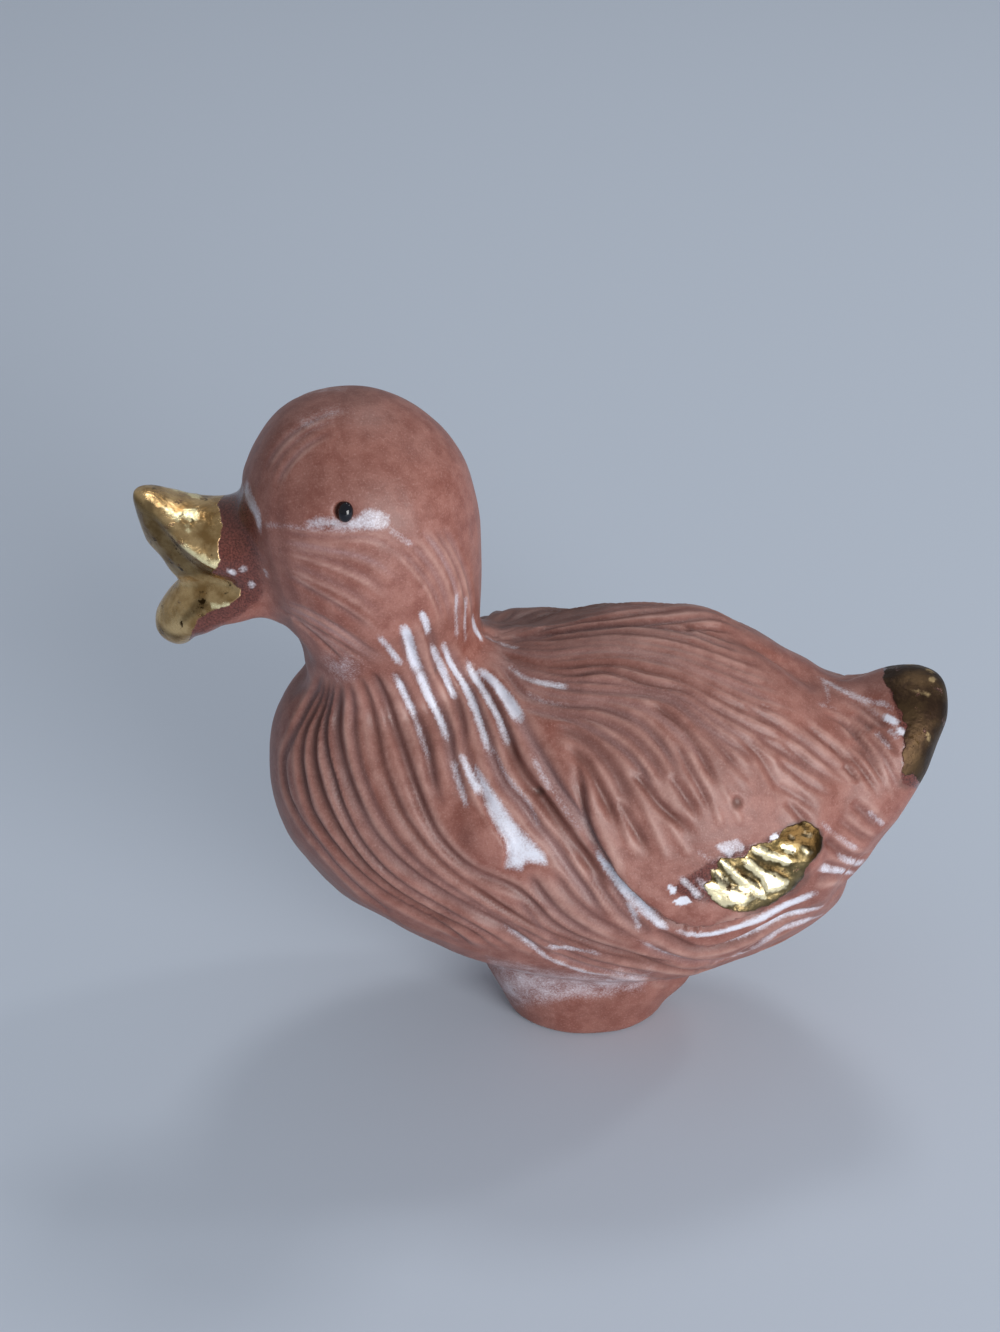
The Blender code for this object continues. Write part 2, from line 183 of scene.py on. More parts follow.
# The steps that paint it from the noises, the skin's layers and the golds: what each step
# makes, its kind, and its terms, which are numbers, colours or what was made before
CLAY_RECIPE = (
    # Clay: mottles, clouds, light and dark dust, furrows darkened partly as painted shade, haze,
    # dust and painted sheen on the crests, brown glaze and painted shade
    ("share", RAMP, "mottle", 0.32, 0.68),
    ("clay", TINT, "share", "#834d41", "#9d695d"),
    ("share", RAMP, "cloud", 0.42, 0.68, 0.38),
    ("clay", TINT, "share", "clay", "#744a40"),
    ("share", RAMP, "dust", 0.52, 0.72, 0.34),
    ("clay", TINT, "share", "clay", "#b98f85"),
    ("share", RAMP, "dust", 0.48, 0.30, 0.30),
    ("clay", TINT, "share", "clay", "#6b3b31"),
    # Furrows darker with their depth: thicker glaze there, and partly painted shade
    ("share", TIMES, "furrow", 0.54),
    ("clay", TINT, "share", "clay", "#5a342b"),
    ("dusty", TIMES, "dust", 1.6),
    ("share", TIMES, "haze", "dusty"),
    ("clay", TINT, "share", "clay", "#b89a9a"),
    # Light crests: partly dust, partly painted sheen
    ("crest_dust_and_sheen", TIMES, "mottle", 1.1),
    ("share", TIMES, "crest", "crest_dust_and_sheen"),
    ("clay", TINT, "share", "clay", "#bd968b"),
    # Brown spots, darkened pocks, and painted shade on the far back
    ("share", TIMES, "shade", 0.85),
    ("clay", TINT, "share", "clay", "#4c342d"),
    # Milky glaze that ran together, and painted white glints, broken up by flecks
    ("flecks", SUM, "dust", "mottle"),
    ("flecks", LESS, "flecks", 1.0),
    ("flecks", TIMES, "flecks", 0.9),
    ("flecks", SUM, "pool_and_glint", "flecks"),
    ("share", RAMP, "pool_and_glint", 0.0, 0.3),
    ("pooled_and_glints", RAMP, "flecks", 0.05, 1.05, "share"),
    ("clay", TINT, "pooled_and_glints", "clay", "#dfe0eb"),
    # Red-brown glaze with a ragged edge, milky where it ran together, white at the painted glints
    ("ragged", LESS, "ragged", 0.5),
    ("ragged", TIMES, "ragged", 0.9),
    ("wine", SUM, "wine", "ragged"),
    ("wine", RAMP, "wine", -0.35, 0.35),
    ("share", RAMP, "dust", 0.3, 0.7),
    ("glaze", TINT, "share", "#40201b", "#764037"),
    ("share", TIMES, "pooled_and_glints", 0.9),
    ("glaze", TINT, "share", "glaze", "#e4e2ea"),
    ("share", TIMES, "wine", 0.92),
    ("clay", TINT, "share", "clay", "glaze"),
    # Gold with a finer ragged edge, worn through in spots
    ("fine", TIMES, "ragged", 0.5),
    ("gilt", SUM, "gold", "fine"),
    ("gilt", RAMP, "gilt", -0.03, 0.08),
    ("worn", RAMP, "wear", 0.62, 0.70, 0.6),
    ("whole", LESS, 1.0, "worn"),
    ("gilt", TIMES, "gilt", "whole"),
    ("share", RAMP, "patch", 0.35, 0.65),
    ("lustre", TINT, "share", "mid_gold", "deep_gold"),
    # Painted highlights: the gold turns to its highlight colour inside their outlines
    ("fine", TIMES, "ragged", 0.9),
    ("highlight_share", SUM, "painted_highlight", "fine"),
    ("highlight_share", RAMP, "highlight_share", -0.10, 0.14),
    ("lustre", TINT, "highlight_share", "lustre", "bright_gold"),
    # Stains and the shade layer darken the gold: brown spots, and painted shade inside the upper bill
    ("stain", RAMP, "stain", 0.60, 0.68),
    ("tarnish_and_shade", SUM, "shade", "stain"),
    ("tarnish_and_shade", TIMES, "tarnish_and_shade", 0.85),
    ("lustre", TINT, "tarnish_and_shade", "lustre", "#3a2a16"),
    ("Base Color", TINT, "gilt", "clay", "lustre"),
    # Metal, less so under the painted highlights
    ("dull", TIMES, "highlight_share", "gilt"),
    ("dull", TIMES, "dull", 0.30),
    ("Metallic", LESS, "gilt", "dull"),
    # Roughness: satin clay, glassy pools and red-brown glaze, polished gold
    ("rough", TIMES, "mottle", 0.22),
    ("rough", SUM, "rough", 0.34),
    ("glassy", TIMES, "pooled_and_glints", 0.14),
    ("rough", LESS, "rough", "glassy"),
    ("glassy", TIMES, "wine", 0.30),
    ("rough", LESS, "rough", "glassy"),
    ("polish", TIMES, "mottle", 0.16),
    ("polish", SUM, "polish", "gold_roughness"),
    ("Roughness", BLEND, "gilt", "rough", "polish"),
    # Fine relief: dust, mottles, and hammer marks in the gold
    ("hammered", TIMES, "gilt", 2.5),
    ("hammered", TIMES, "hammer", "hammered"),
    ("height", SUM, "mottle", "hammered"),
    ("grit", TIMES, "dust", 0.4),
    ("height", SUM, "height", "grit"),
    ("Normal", BUMP, "height", 0.06 * MM, 0.7),
)

# Windows of the frame that the strokes below are drawn in: left, top, enlargement
BREAST = (250.0, 560.0, 3.92)
WING = (550.0, 640.0, 4.48)
HEAD = (120.0, 370.0, 4.126)
FLANK = (430.0, 740.0, 3.647)
TAIL = (760.0, 620.0, 5.6)
BACK = (460.0, 580.0, 3.92)
FRAME = (0.0, 0.0, 1.0)

# Comb strokes of the near side: window, half width and depth in mm, how much milky glaze stays
# in the stroke, how many strokes lie between two of the courses, and the courses in pixels of
# the window
COMBS = (
    # Breast: furrows that fan from the throat and sweep back under the wing
    (BREAST, 0.52, 0.38, 0.2, 0, (
        ((290, 440), (225, 560), (165, 680), (128, 780), (140, 900), (180, 1000), (245, 1095),
         (330, 1200), (430, 1300), (560, 1390)),
        ((300, 450), (255, 560), (208, 660), (192, 760), (200, 850), (225, 960), (270, 1050),
         (330, 1130), (410, 1220), (520, 1310), (640, 1380), (770, 1450), (890, 1530)),
        ((315, 455), (280, 560), (248, 660), (240, 760), (256, 860), (290, 960), (340, 1060),
         (400, 1150), (470, 1230), (570, 1310), (700, 1385), (840, 1455), (970, 1530)),
        ((332, 460), (303, 560), (285, 660), (293, 760), (320, 860), (347, 950), (392, 1050),
         (445, 1135), (525, 1225), (630, 1305), (770, 1385), (910, 1465), (1030, 1530)),
        ((352, 470), (338, 560), (332, 660), (347, 760), (378, 870), (415, 960), (460, 1050),
         (520, 1130), (600, 1210), (710, 1290), (850, 1370), (990, 1445), (1110, 1520), (1230, 1560)),
        ((382, 470), (398, 570), (402, 680), (420, 790), (452, 890), (495, 990), (545, 1075),
         (610, 1155), (700, 1235), (810, 1310), (940, 1390), (1070, 1460), (1200, 1525), (1330, 1575),
         (1460, 1605), (1600, 1625)),
        ((425, 450), (462, 560), (490, 680), (510, 790), (548, 900), (592, 1000), (645, 1080),
         (710, 1160), (800, 1240), (900, 1310), (1020, 1390), (1140, 1455), (1270, 1510),
         (1400, 1555), (1540, 1590), (1680, 1610)),
        ((470, 430), (530, 560), (572, 680), (608, 790), (642, 890), (680, 990), (732, 1090),
         (800, 1170), (880, 1228), (960, 1262), (1040, 1300), (1110, 1360), (1180, 1430),
         (1270, 1485), (1400, 1530), (1550, 1570), (1700, 1590)),
    )),
    # Side of the breast: furrows that leave the collar
    (BREAST, 0.50, 0.40, 0.3, 0, (
        ((560, 430), (600, 510), (645, 610), (680, 700), (702, 800), (725, 900), (760, 990)),
        ((600, 270), (640, 390), (690, 490), (740, 600), (775, 690), (790, 780), (815, 870),
         (850, 970)),
        ((670, 210), (712, 310), (735, 410), (790, 510), (825, 620), (840, 730), (880, 850),
         (930, 950), (985, 1050)),
        ((752, 330), (800, 405), (848, 490), (888, 600), (925, 710), (955, 800), (1000, 890),
         (1070, 970), (1120, 1040), (1190, 1120), (1260, 1230), (1340, 1340), (1400, 1440)),
        ((850, 400), (900, 475), (952, 560), (992, 660), (1030, 770), (1080, 860), (1150, 950),
         (1215, 1040), (1290, 1140), (1370, 1250), (1440, 1350)),
        ((950, 470), (1040, 600), (1095, 700), (1150, 800), (1210, 900), (1290, 1010), (1360, 1130),
         (1430, 1230)),
    )),
    # Collar and chin: finer strokes that run to the throat
    (BREAST, 0.32, 0.22, 0.4, 1, (
        ((130, 165), (220, 200), (330, 260), (430, 330), (540, 400)),
        ((110, 190), (200, 240), (300, 300), (400, 360), (500, 420)),
        ((150, 215), (230, 280), (300, 340), (370, 400)),
    )),
    # Cheek and nape
    (HEAD, 0.30, 0.18, 0.5, 1, (
        ((1140, 730), (1210, 800), (1280, 890), (1320, 980), (1335, 1080)),
        ((1240, 660), (1310, 740), (1365, 840), (1395, 950), (1405, 1090)),
        ((1330, 640), (1390, 740), (1435, 850), (1455, 960), (1455, 1080)),
    )),
    (HEAD, 0.28, 0.09, 0.35, 1, (
        ((650, 670), (760, 685), (880, 692), (1010, 690), (1100, 720), (1180, 780)),
        ((680, 740), (800, 770), (920, 810), (1040, 870), (1140, 950)),
        ((680, 850), (780, 910), (900, 980), (1000, 1050), (1080, 1120)),
    )),
    # Forehead: faint strokes that follow the outline
    (HEAD, 0.30, 0.06, 0.35, 1, (
        ((590, 420), (640, 330), (720, 250), (830, 190), (950, 160)),
        ((640, 480), (690, 390), (770, 310), (880, 250)),
    )),
    # Back: strokes that leave the nape's root and sweep over the wing
    (BACK, 0.42, 0.30, 0.2, 1, (
        ((75, 200), (200, 205), (330, 183), (450, 162), (560, 148), (700, 142), (850, 160),
         (960, 200), (1080, 250)),
        ((110, 228), (240, 226), (360, 225), (480, 212), (600, 200), (720, 205), (850, 225),
         (980, 262), (1100, 305), (1220, 350)),
        ((110, 238), (230, 257), (350, 265), (480, 250), (600, 245), (700, 262), (800, 280),
         (900, 305), (1020, 348), (1140, 395), (1260, 440)),
        ((115, 248), (230, 290), (340, 312), (460, 302), (600, 292), (700, 300), (800, 322),
         (880, 350), (980, 400), (1100, 455), (1220, 505), (1340, 550)),
        ((120, 262), (220, 318), (330, 350), (440, 365), (560, 350), (640, 370), (700, 392),
         (780, 410), (880, 430), (960, 480), (1060, 535), (1180, 595), (1300, 650)),
        ((130, 280), (190, 330), (250, 372), (340, 398), (420, 418), (520, 430), (640, 436),
         (740, 446), (840, 475), (920, 535), (1010, 605), (1100, 665), (1180, 720)),
        ((130, 295), (180, 355), (235, 425), (290, 458), (370, 480), (450, 490), (530, 492),
         (620, 517), (700, 557), (760, 612), (805, 665), (850, 740), (885, 820)),
        ((210, 480), (300, 510), (400, 535), (480, 565), (560, 610), (640, 665), (700, 730),
         (745, 800), (780, 870)),
    )),
    # Wing: long strokes that run down to its smooth lower third
    (WING, 0.62, 0.38, 0.1, 0, (
        ((0, 388), (80, 402), (160, 450), (230, 520), (290, 600), (330, 680), (370, 760), (400, 830)),
        ((60, 470), (130, 520), (185, 590), (228, 670), (270, 750), (315, 835), (360, 910)),
    )),
    (WING, 0.52, 0.30, 0.1, 0, (
        ((430, 270), (550, 350), (640, 450), (700, 560), (755, 640), (800, 705)),
        ((600, 300), (700, 400), (780, 500), (850, 600), (880, 680)),
        ((740, 312), (850, 430), (940, 520), (1010, 635), (1080, 700), (1170, 735)),
        ((850, 322), (960, 440), (1060, 505), (1150, 560), (1250, 620), (1350, 655)),
    )),
    (FRAME, 0.48, 0.29, 0.1, 0, (
        ((628, 768), (640, 780), (650, 792), (658, 803), (670, 815), (684, 826), (697, 840)),
        ((672, 740), (683, 756), (692, 772), (701, 788), (709, 803), (716, 818)),
        ((668, 772), (680, 790), (692, 808), (700, 822)),
        ((738, 698), (755, 710), (775, 722), (795, 736), (812, 748), (828, 762), (842, 776),
         (853, 787)),
        ((615, 795), (625, 812), (634, 828), (643, 843), (655, 858)),
        ((785, 798), (797, 812), (806, 822), (814, 828)),
    )),
    # The deep crease under the wing
    (FLANK, 0.60, 0.30, 0.1, 0, (
        ((545, 60), (545, 150), (560, 260), (590, 340), (635, 430), (680, 505), (740, 570),
         (800, 622), (862, 662), (930, 680), (1010, 680), (1090, 663), (1165, 640), (1240, 605),
         (1330, 560)),
    )),
    # Flank: long ridges that gather at the rump
    (FLANK, 0.50, 0.46, 0.3, 0, (
        ((800, 690), (880, 730), (960, 768), (1040, 765), (1130, 735), (1220, 690), (1310, 645),
         (1430, 605)),
        ((760, 740), (860, 790), (960, 815), (1060, 805), (1160, 765), (1260, 710), (1350, 660),
         (1430, 635)),
        ((560, 740), (680, 780), (800, 820), (920, 845), (1050, 835), (1160, 795), (1280, 735),
         (1380, 685)),
        ((420, 770), (540, 820), (680, 855), (820, 875), (960, 870), (1080, 840), (1200, 785)),
    )),
    (FLANK, 0.48, 0.36, 0.2, 0, (
        ((300, 560), (360, 640), (420, 710), (500, 760), (600, 790), (720, 800)),
        ((350, 480), (400, 560), (470, 640), (560, 700), (660, 740)),
        ((440, 470), (500, 560), (580, 640), (680, 700), (780, 740)),
        ((560, 450), (620, 540), (690, 630), (760, 690), (850, 740)),
        ((640, 470), (680, 560), (730, 640), (790, 700), (850, 740)),
    )),
    # Rump: short curved strokes behind the gilded wing tip
    (FRAME, 0.44, 0.34, 0.1, 0, (
        ((822, 836), (832, 845), (842, 853), (853, 858), (864, 857), (875, 851)),
        ((852, 802), (863, 812), (873, 822), (882, 831)),
        ((838, 818), (850, 828), (862, 837), (873, 842), (882, 842)),
        ((822, 862), (834, 867), (848, 870), (864, 868)),
        ((815, 879), (835, 877), (855, 874)),
    )),
    # Tail: fine strokes that gather toward its ridge
    (FRAME, 0.34, 0.22, 0.1, 0, (
        ((840, 692), (850, 699), (860, 706), (874, 717), (887, 728), (897, 737)),
        ((822, 713), (838, 719), (850, 729), (860, 741), (870, 753), (880, 766), (888, 780)),
        ((848, 741), (860, 750), (871, 762), (880, 776), (888, 790)),
        ((838, 748), (853, 760), (864, 773), (873, 786), (880, 798)),
        ((842, 763), (851, 772), (858, 782)),
        ((866, 735), (876, 747), (885, 760), (892, 774), (898, 789), (902, 803)),
        ((872, 727), (882, 737), (892, 748), (899, 758)),
        ((852, 712), (864, 722), (874, 730)),
        ((846, 722), (852, 729), (858, 736)),
    )),
    (TAIL, 0.42, 0.28, 0.1, 1, (
        ((220, 560), (320, 640), (420, 720), (500, 810), (550, 890)),
        ((100, 660), (200, 740), (300, 820), (400, 880), (500, 930)),
        ((60, 900), (160, 960), (260, 1020), (330, 1080)),
    )),
)

# Milky glaze that ran together, and a few painted white glints: window, half width in mm at the
# start and the end, strength, course
POOLS_AND_GLINTS = (
    (HEAD, 0.80, 0.30, 0.62, ((510, 480), (540, 545), (565, 600), (578, 665))),
    (HEAD, 0.40, 0.30, 0.30, ((430, 485), (480, 475), (530, 510))),
    (HEAD, 0.25, 0.30, 0.35, ((1110, 655), (1160, 690), (1200, 720))),
    (HEAD, 0.26, 0.26, 0.28, ((560, 650), (640, 640), (760, 655), (900, 660), (1010, 655))),
    (BREAST, 0.12, 0.30, 0.8, ((505, 300), (545, 345), (575, 385), (590, 405))),
    (BREAST, 0.28, 0.10, 0.8, ((565, 450), (600, 520), (640, 600), (670, 690), (700, 790))),
    (BREAST, 0.32, 0.42, 1.0, ((600, 262), (622, 310), (640, 380), (668, 450))),
    (BREAST, 0.42, 0.15, 1.0, ((668, 450), (700, 530), (735, 600), (755, 650), (770, 700))),
    (BREAST, 0.26, 0.20, 0.9, ((668, 200), (690, 245), (705, 295))),
    (BREAST, 0.20, 0.25, 0.9, ((717, 340), (745, 400), (775, 470), (800, 530))),
    (BREAST, 0.28, 0.18, 1.0, ((757, 330), (790, 400), (835, 480), (870, 560), (905, 660), (940, 760))),
    (BREAST, 0.30, 0.20, 0.9, ((850, 395), (890, 470), (930, 540), (970, 620), (1000, 720))),
    (BREAST, 0.22, 0.50, 1.1, ((905, 430), (950, 470), (1000, 530), (1050, 612))),
    (BREAST, 0.20, 0.10, 0.8, ((812, 140), (808, 220), (812, 310))),
    (BREAST, 0.20, 0.12, 0.8, ((850, 150), (843, 240), (845, 320))),
    (BREAST, 0.14, 0.30, 0.9, ((872, 215), (880, 260), (905, 305))),
    (BREAST, 0.14, 0.35, 0.9, ((825, 755), (860, 840), (900, 910))),
    (BREAST, 0.16, 0.12, 0.9, ((795, 790), (820, 880), (850, 970))),
    (BREAST, 0.10, 0.16, 0.7, ((930, 690), (965, 770), (1010, 850), (1090, 950), (1130, 1040))),
    (BREAST, 0.14, 0.14, 0.6, ((1100, 760), (1150, 860), (1220, 960), (1290, 1060))),
    (FLANK, 0.16, 0.50, 0.9, ((600, 400), (670, 505), (720, 560), (760, 600))),
    (FLANK, 0.50, 0.30, 0.9, ((740, 570), (800, 640), (860, 690))),
    (FLANK, 0.30, 0.12, 0.7, ((725, 590), (745, 640), (765, 700))),
    (FLANK, 0.18, 0.45, 1.0, ((900, 700), (1000, 712), (1100, 690), (1200, 655), (1290, 605),
        (1400, 560))),
    (FLANK, 0.15, 0.24, 0.9, ((980, 770), (1100, 745), (1200, 702), (1300, 650), (1430, 608))),
    (FLANK, 0.12, 0.22, 0.8, ((1040, 815), (1180, 762), (1300, 692), (1430, 637))),
    (FLANK, 0.10, 0.20, 0.7, ((760, 730), (860, 785), (950, 805))),
    (FLANK, 0.14, 0.22, 0.8, ((270, 690), (350, 745), (440, 800), (560, 845), (650, 860))),
    (FLANK, 0.20, 0.16, 0.7, ((420, 760), (520, 770), (620, 790))),
    (FRAME, 0.14, 0.40, 0.7, ((836, 855), (848, 861), (860, 863), (872, 857), (883, 848))),
    (FRAME, 0.35, 0.25, 0.7, ((820, 868), (832, 871), (845, 873), (858, 873))),
    (FRAME, 0.14, 0.22, 0.5, ((820, 822), (832, 832), (845, 842), (857, 850))),
    (FRAME, 0.14, 0.24, 0.6, ((868, 811), (876, 818), (883, 825))),
    (FRAME, 0.16, 0.14, 0.80, ((772, 645), (785, 652), (797, 660), (808, 668), (818, 677), (830, 683),
        (842, 690), (855, 696), (870, 701), (885, 704), (894, 710))),
    (FRAME, 0.14, 0.14, 0.4, ((842, 686), (858, 697), (870, 707), (880, 716))),
    (FRAME, 0.22, 0.16, 0.4, ((815, 672), (822, 680), (827, 690), (828, 700), (822, 706))),
    (FRAME, 0.30, 0.14, 0.3, ((818, 704), (827, 706), (838, 710))),
    # Painted highlights: two white glints on the tail's ridge
    (FRAME, 0.30, 0.20, 1.2, ((885, 717), (892, 720), (896, 722))),
    (FRAME, 0.24, 0.24, 1.2, ((898, 729), (902, 732))),
    (FRAME, 0.14, 0.16, 0.7, ((875, 731), (882, 739), (890, 748))),
    # Painted highlight: a white glint on the tail's ridge
    (FRAME, 0.16, 0.12, 0.6, ((888, 729), (893, 734), (898, 739))),
    (BACK, 0.12, 0.28, 0.8, ((190, 325), (250, 375), (330, 400), (410, 412))),
    (BACK, 0.25, 0.2, 0.5, ((95, 215), (150, 240), (230, 260))),
    (BACK, 0.12, 0.10, 0.6, ((250, 430), (330, 470), (430, 490))),
    # Painted highlight: a white glint on the red-brown glaze of the wing tip
    (FRAME, 0.18, 0.14, 1.1, ((681, 878), (686, 883), (692, 889), (699, 897))),
    (FRAME, 0.12, 0.16, 0.9, ((696, 877), (703, 884), (709, 889))),
    (FRAME, 0.16, 0.12, 0.5, ((697, 850), (706, 857), (715, 863))),
    # Painted highlights: four white glints on the red-brown glaze at the bill's root
    (FRAME, 0.24, 0.18, 1.1, ((229, 570), (233, 573))),
    (FRAME, 0.16, 0.16, 0.9, ((241, 571), (244, 569))),
    (FRAME, 0.16, 0.16, 1.1, ((250, 587), (252, 584))),
    (FRAME, 0.12, 0.12, 0.7, ((265, 569), (267, 576))),
)

# Patches of the same glaze, and two of painted white glints: strength, softness of the edge in mm,
# outline in pixels of the frame
MILKY_AND_GLINT_AREAS = (
    (0.92, 0.45, ((475, 767), (482, 792), (489, 812), (498, 829), (506, 841), (508, 854), (506, 868),
        (521, 870), (527, 861), (547, 864), (545, 856), (536, 846), (524, 833), (511, 819),
        (499, 800), (487, 781))),
    (0.64, 0.42, ((331, 528), (345, 529), (368, 530), (388, 527), (390, 517), (380, 510), (368, 509),
        (356, 516), (345, 522), (333, 518), (316, 517), (305, 522), (312, 527))),
    (0.62, 0.20, ((714, 846), (725, 841), (738, 839), (746, 846), (743, 852), (735, 852), (730, 858),
        (722, 853))),
    # Painted highlights: white glints on the red-brown glaze of the wing tip
    (1.2, 0.08, ((668, 885), (674, 886), (678, 892), (672, 894), (669, 890))),
    (1.2, 0.08, ((673, 901), (680, 897), (687, 896), (692, 902), (680, 905))),
    (1.2, 0.10, ((769, 837), (776, 833), (781, 838), (777, 841), (771, 840))),
    (0.46, 1.00, ((488, 958), (520, 966), (575, 974), (650, 973), (640, 990), (590, 996), (540, 1002),
        (515, 1006), (500, 990))),
    (0.24, 1.00, ((288, 434), (300, 418), (320, 407), (342, 404), (352, 412), (335, 421), (315, 431),
        (300, 443))),
    (0.30, 0.90, ((322, 655), (348, 652), (366, 662), (356, 680), (338, 684), (326, 672))),
)

# Pocks in the clay: window, place, radius and depth in mm
POCKS = (
    (WING, (838, 730), 0.50, 0.20),
    (HEAD, (877, 632), 0.16, 0.10),
    (BREAST, (735, 440), 0.22, 0.14),
    (BREAST, (1130, 910), 0.40, 0.16),
)

# Lips, where the clay on the left of a course stands over the clay on its right: height and
# reach in mm, course in pixels of the frame
LIPS = (
    (0.50, 2.4, ((573, 735), (579, 757), (581, 780), (583, 811), (592, 838), (604, 858), (616, 874),
        (633, 892), (650, 906), (666, 915), (690, 922), (710, 922), (735, 917), (760, 908),
        (785, 894), (806, 876))),
    (0.30, 2.2, ((492, 872), (503, 866), (508, 854), (506, 841), (498, 829), (489, 812), (482, 794),
        (474, 775))),
)

# Grooves pressed into the bill and round the wing, and ridges where the depth is negative: half
# width and depth in mm, how much of the course fades in, course in pixels of the frame
PRESSED = (
    (0.80, 0.30, 0.12, ((147, 515), (158, 531), (171, 547), (186, 563), (203, 576), (220, 583),
        (238, 588))),
    (0.45, -0.24, 0.45, ((156, 512), (166, 523), (178, 537), (192, 549), (206, 560), (221, 569))),
    (0.22, 0.30, 0.12, ((478, 790), (489, 814), (499, 831), (506, 842), (508, 855), (503, 867))),
    (0.32, 0.50, 0.12, ((582, 775), (584, 811), (593, 838), (605, 858), (617, 875), (634, 893),
        (651, 907), (667, 917), (690, 924), (710, 923), (735, 918), (760, 909), (785, 895),
        (806, 877))),
    (0.34, -0.13, 0.30, ((560, 716), (600, 730), (622, 747), (640, 764), (658, 786))),
    (0.32, -0.12, 0.30, ((600, 705), (625, 712), (645, 728), (665, 745), (684, 780))),
    (0.30, -0.12, 0.30, ((660, 775), (680, 798), (694, 822))),
    (0.30, -0.12, 0.30, ((680, 745), (697, 772), (711, 800), (723, 828))),
    (0.28, -0.10, 0.30, ((704, 752), (718, 780), (733, 806), (742, 826))),
    (0.32, -0.12, 0.30, ((660, 716), (693, 735), (718, 752), (748, 788))),
    (0.34, -0.14, 0.30, ((590, 760), (605, 790), (617, 815), (632, 846))),
    (0.30, -0.12, 0.30, ((636, 790), (648, 815), (660, 842), (668, 862))),
    (0.28, -0.11, 0.30, ((664, 812), (676, 834), (690, 856))),
    (0.30, -0.12, 0.30, ((722, 716), (752, 742), (782, 768), (806, 792))),
)

# Raised fingers and flecks of the gold, coloured as painted highlights: height in mm, outline in
# pixels of the frame
PAINTED_HIGHLIGHTS = (
    (0.18, ((703, 885), (712, 883), (718, 884), (716, 875), (713, 870), (720, 872), (727, 879),
        (731, 887), (738, 886), (750, 892), (755, 897), (748, 901), (740, 904), (722, 904),
        (714, 900), (708, 893))),
    (0.20, ((718, 859), (725, 861), (731, 865), (738, 872), (748, 877), (758, 883), (764, 890),
        (765, 897), (758, 897), (750, 892), (740, 886), (732, 878), (727, 872), (722, 867))),
    (0.20, ((743, 861), (748, 857), (755, 862), (761, 868), (770, 871), (780, 875), (789, 880),
        (785, 886), (775, 890), (766, 893), (763, 887), (760, 880), (752, 872), (745, 867))),
    (0.20, ((751, 848), (760, 846), (770, 851), (782, 856), (792, 860), (796, 864), (785, 865),
        (772, 861), (762, 858), (754, 854))),
    (0.12, ((780, 845), (788, 844), (796, 849), (793, 853), (785, 851))),
    (0.10, ((800, 847), (806, 846), (812, 852), (806, 856))),
    (0.06, ((790, 835), (795, 836), (794, 839), (790, 838))),
    (0.10, ((800, 829), (806, 830), (813, 836), (809, 839), (803, 835))),
    (0.04, ((160, 504), (166, 508), (173, 509), (175, 513), (180, 513), (184, 510), (197, 508),
        (199, 513), (196, 519), (190, 521), (184, 519), (180, 517), (179, 521), (173, 519),
        (167, 513), (163, 509))),
    (0.06, ((181, 540), (185, 543), (193, 548), (203, 554), (212, 560), (219, 561), (219, 569),
        (212, 566), (202, 561), (193, 555), (186, 549), (181, 545))),
    (0.04, ((208, 602), (217, 604), (228, 602), (230, 606), (223, 610), (212, 609))),
    (0.05, ((185, 525), (190, 524), (192, 530), (187, 534), (184, 530))),
    (0.06, ((929, 678), (934, 677), (937, 680), (935, 683), (930, 682))),
    (0.05, ((910, 689), (920, 691), (931, 694), (930, 697), (919, 694))),
    (0.02, ((926, 733), (929, 732), (930, 737), (929, 740), (927, 738))),
)

# The valley in the far shoulder, which has no like on the near side: half width and depth in mm,
# course in pixels of the frame
VALLEY = (1.8, 0.5, ((506, 621), (530, 618), (560, 616), (585, 611), (612, 604)))

# Seams that are sponged: the two members, reach in mm, and the axis and the least and most mm along
# it where the clay was sponged
SEAMS = (
    ("head", "torso", 2.6, X, -FAR, FAR),
    ("tail", "torso", 2.4, Z, 18.0, FAR),
    ("foot", "torso", 2.8, X, -FAR, FAR),
    ("left_wing", "torso", 2.8, X, -FAR, -1.5),
    ("right_wing", "torso", 2.8, X, -FAR, -1.5),
    ("left_wing", "tail", 2.6, Z, 21.5, FAR),
    ("right_wing", "tail", 2.6, Z, 21.5, FAR),
    ("left_wing", "right_wing", 1.5, X, -FAR, FAR),
    ("left_wing", "head", 1.6, X, -FAR, FAR),
    ("right_wing", "head", 1.6, X, -FAR, FAR),
    ("upper_bill", "head", 2.2, X, -FAR, FAR),
    ("lower_bill", "head", 2.2, X, -FAR, FAR),
)

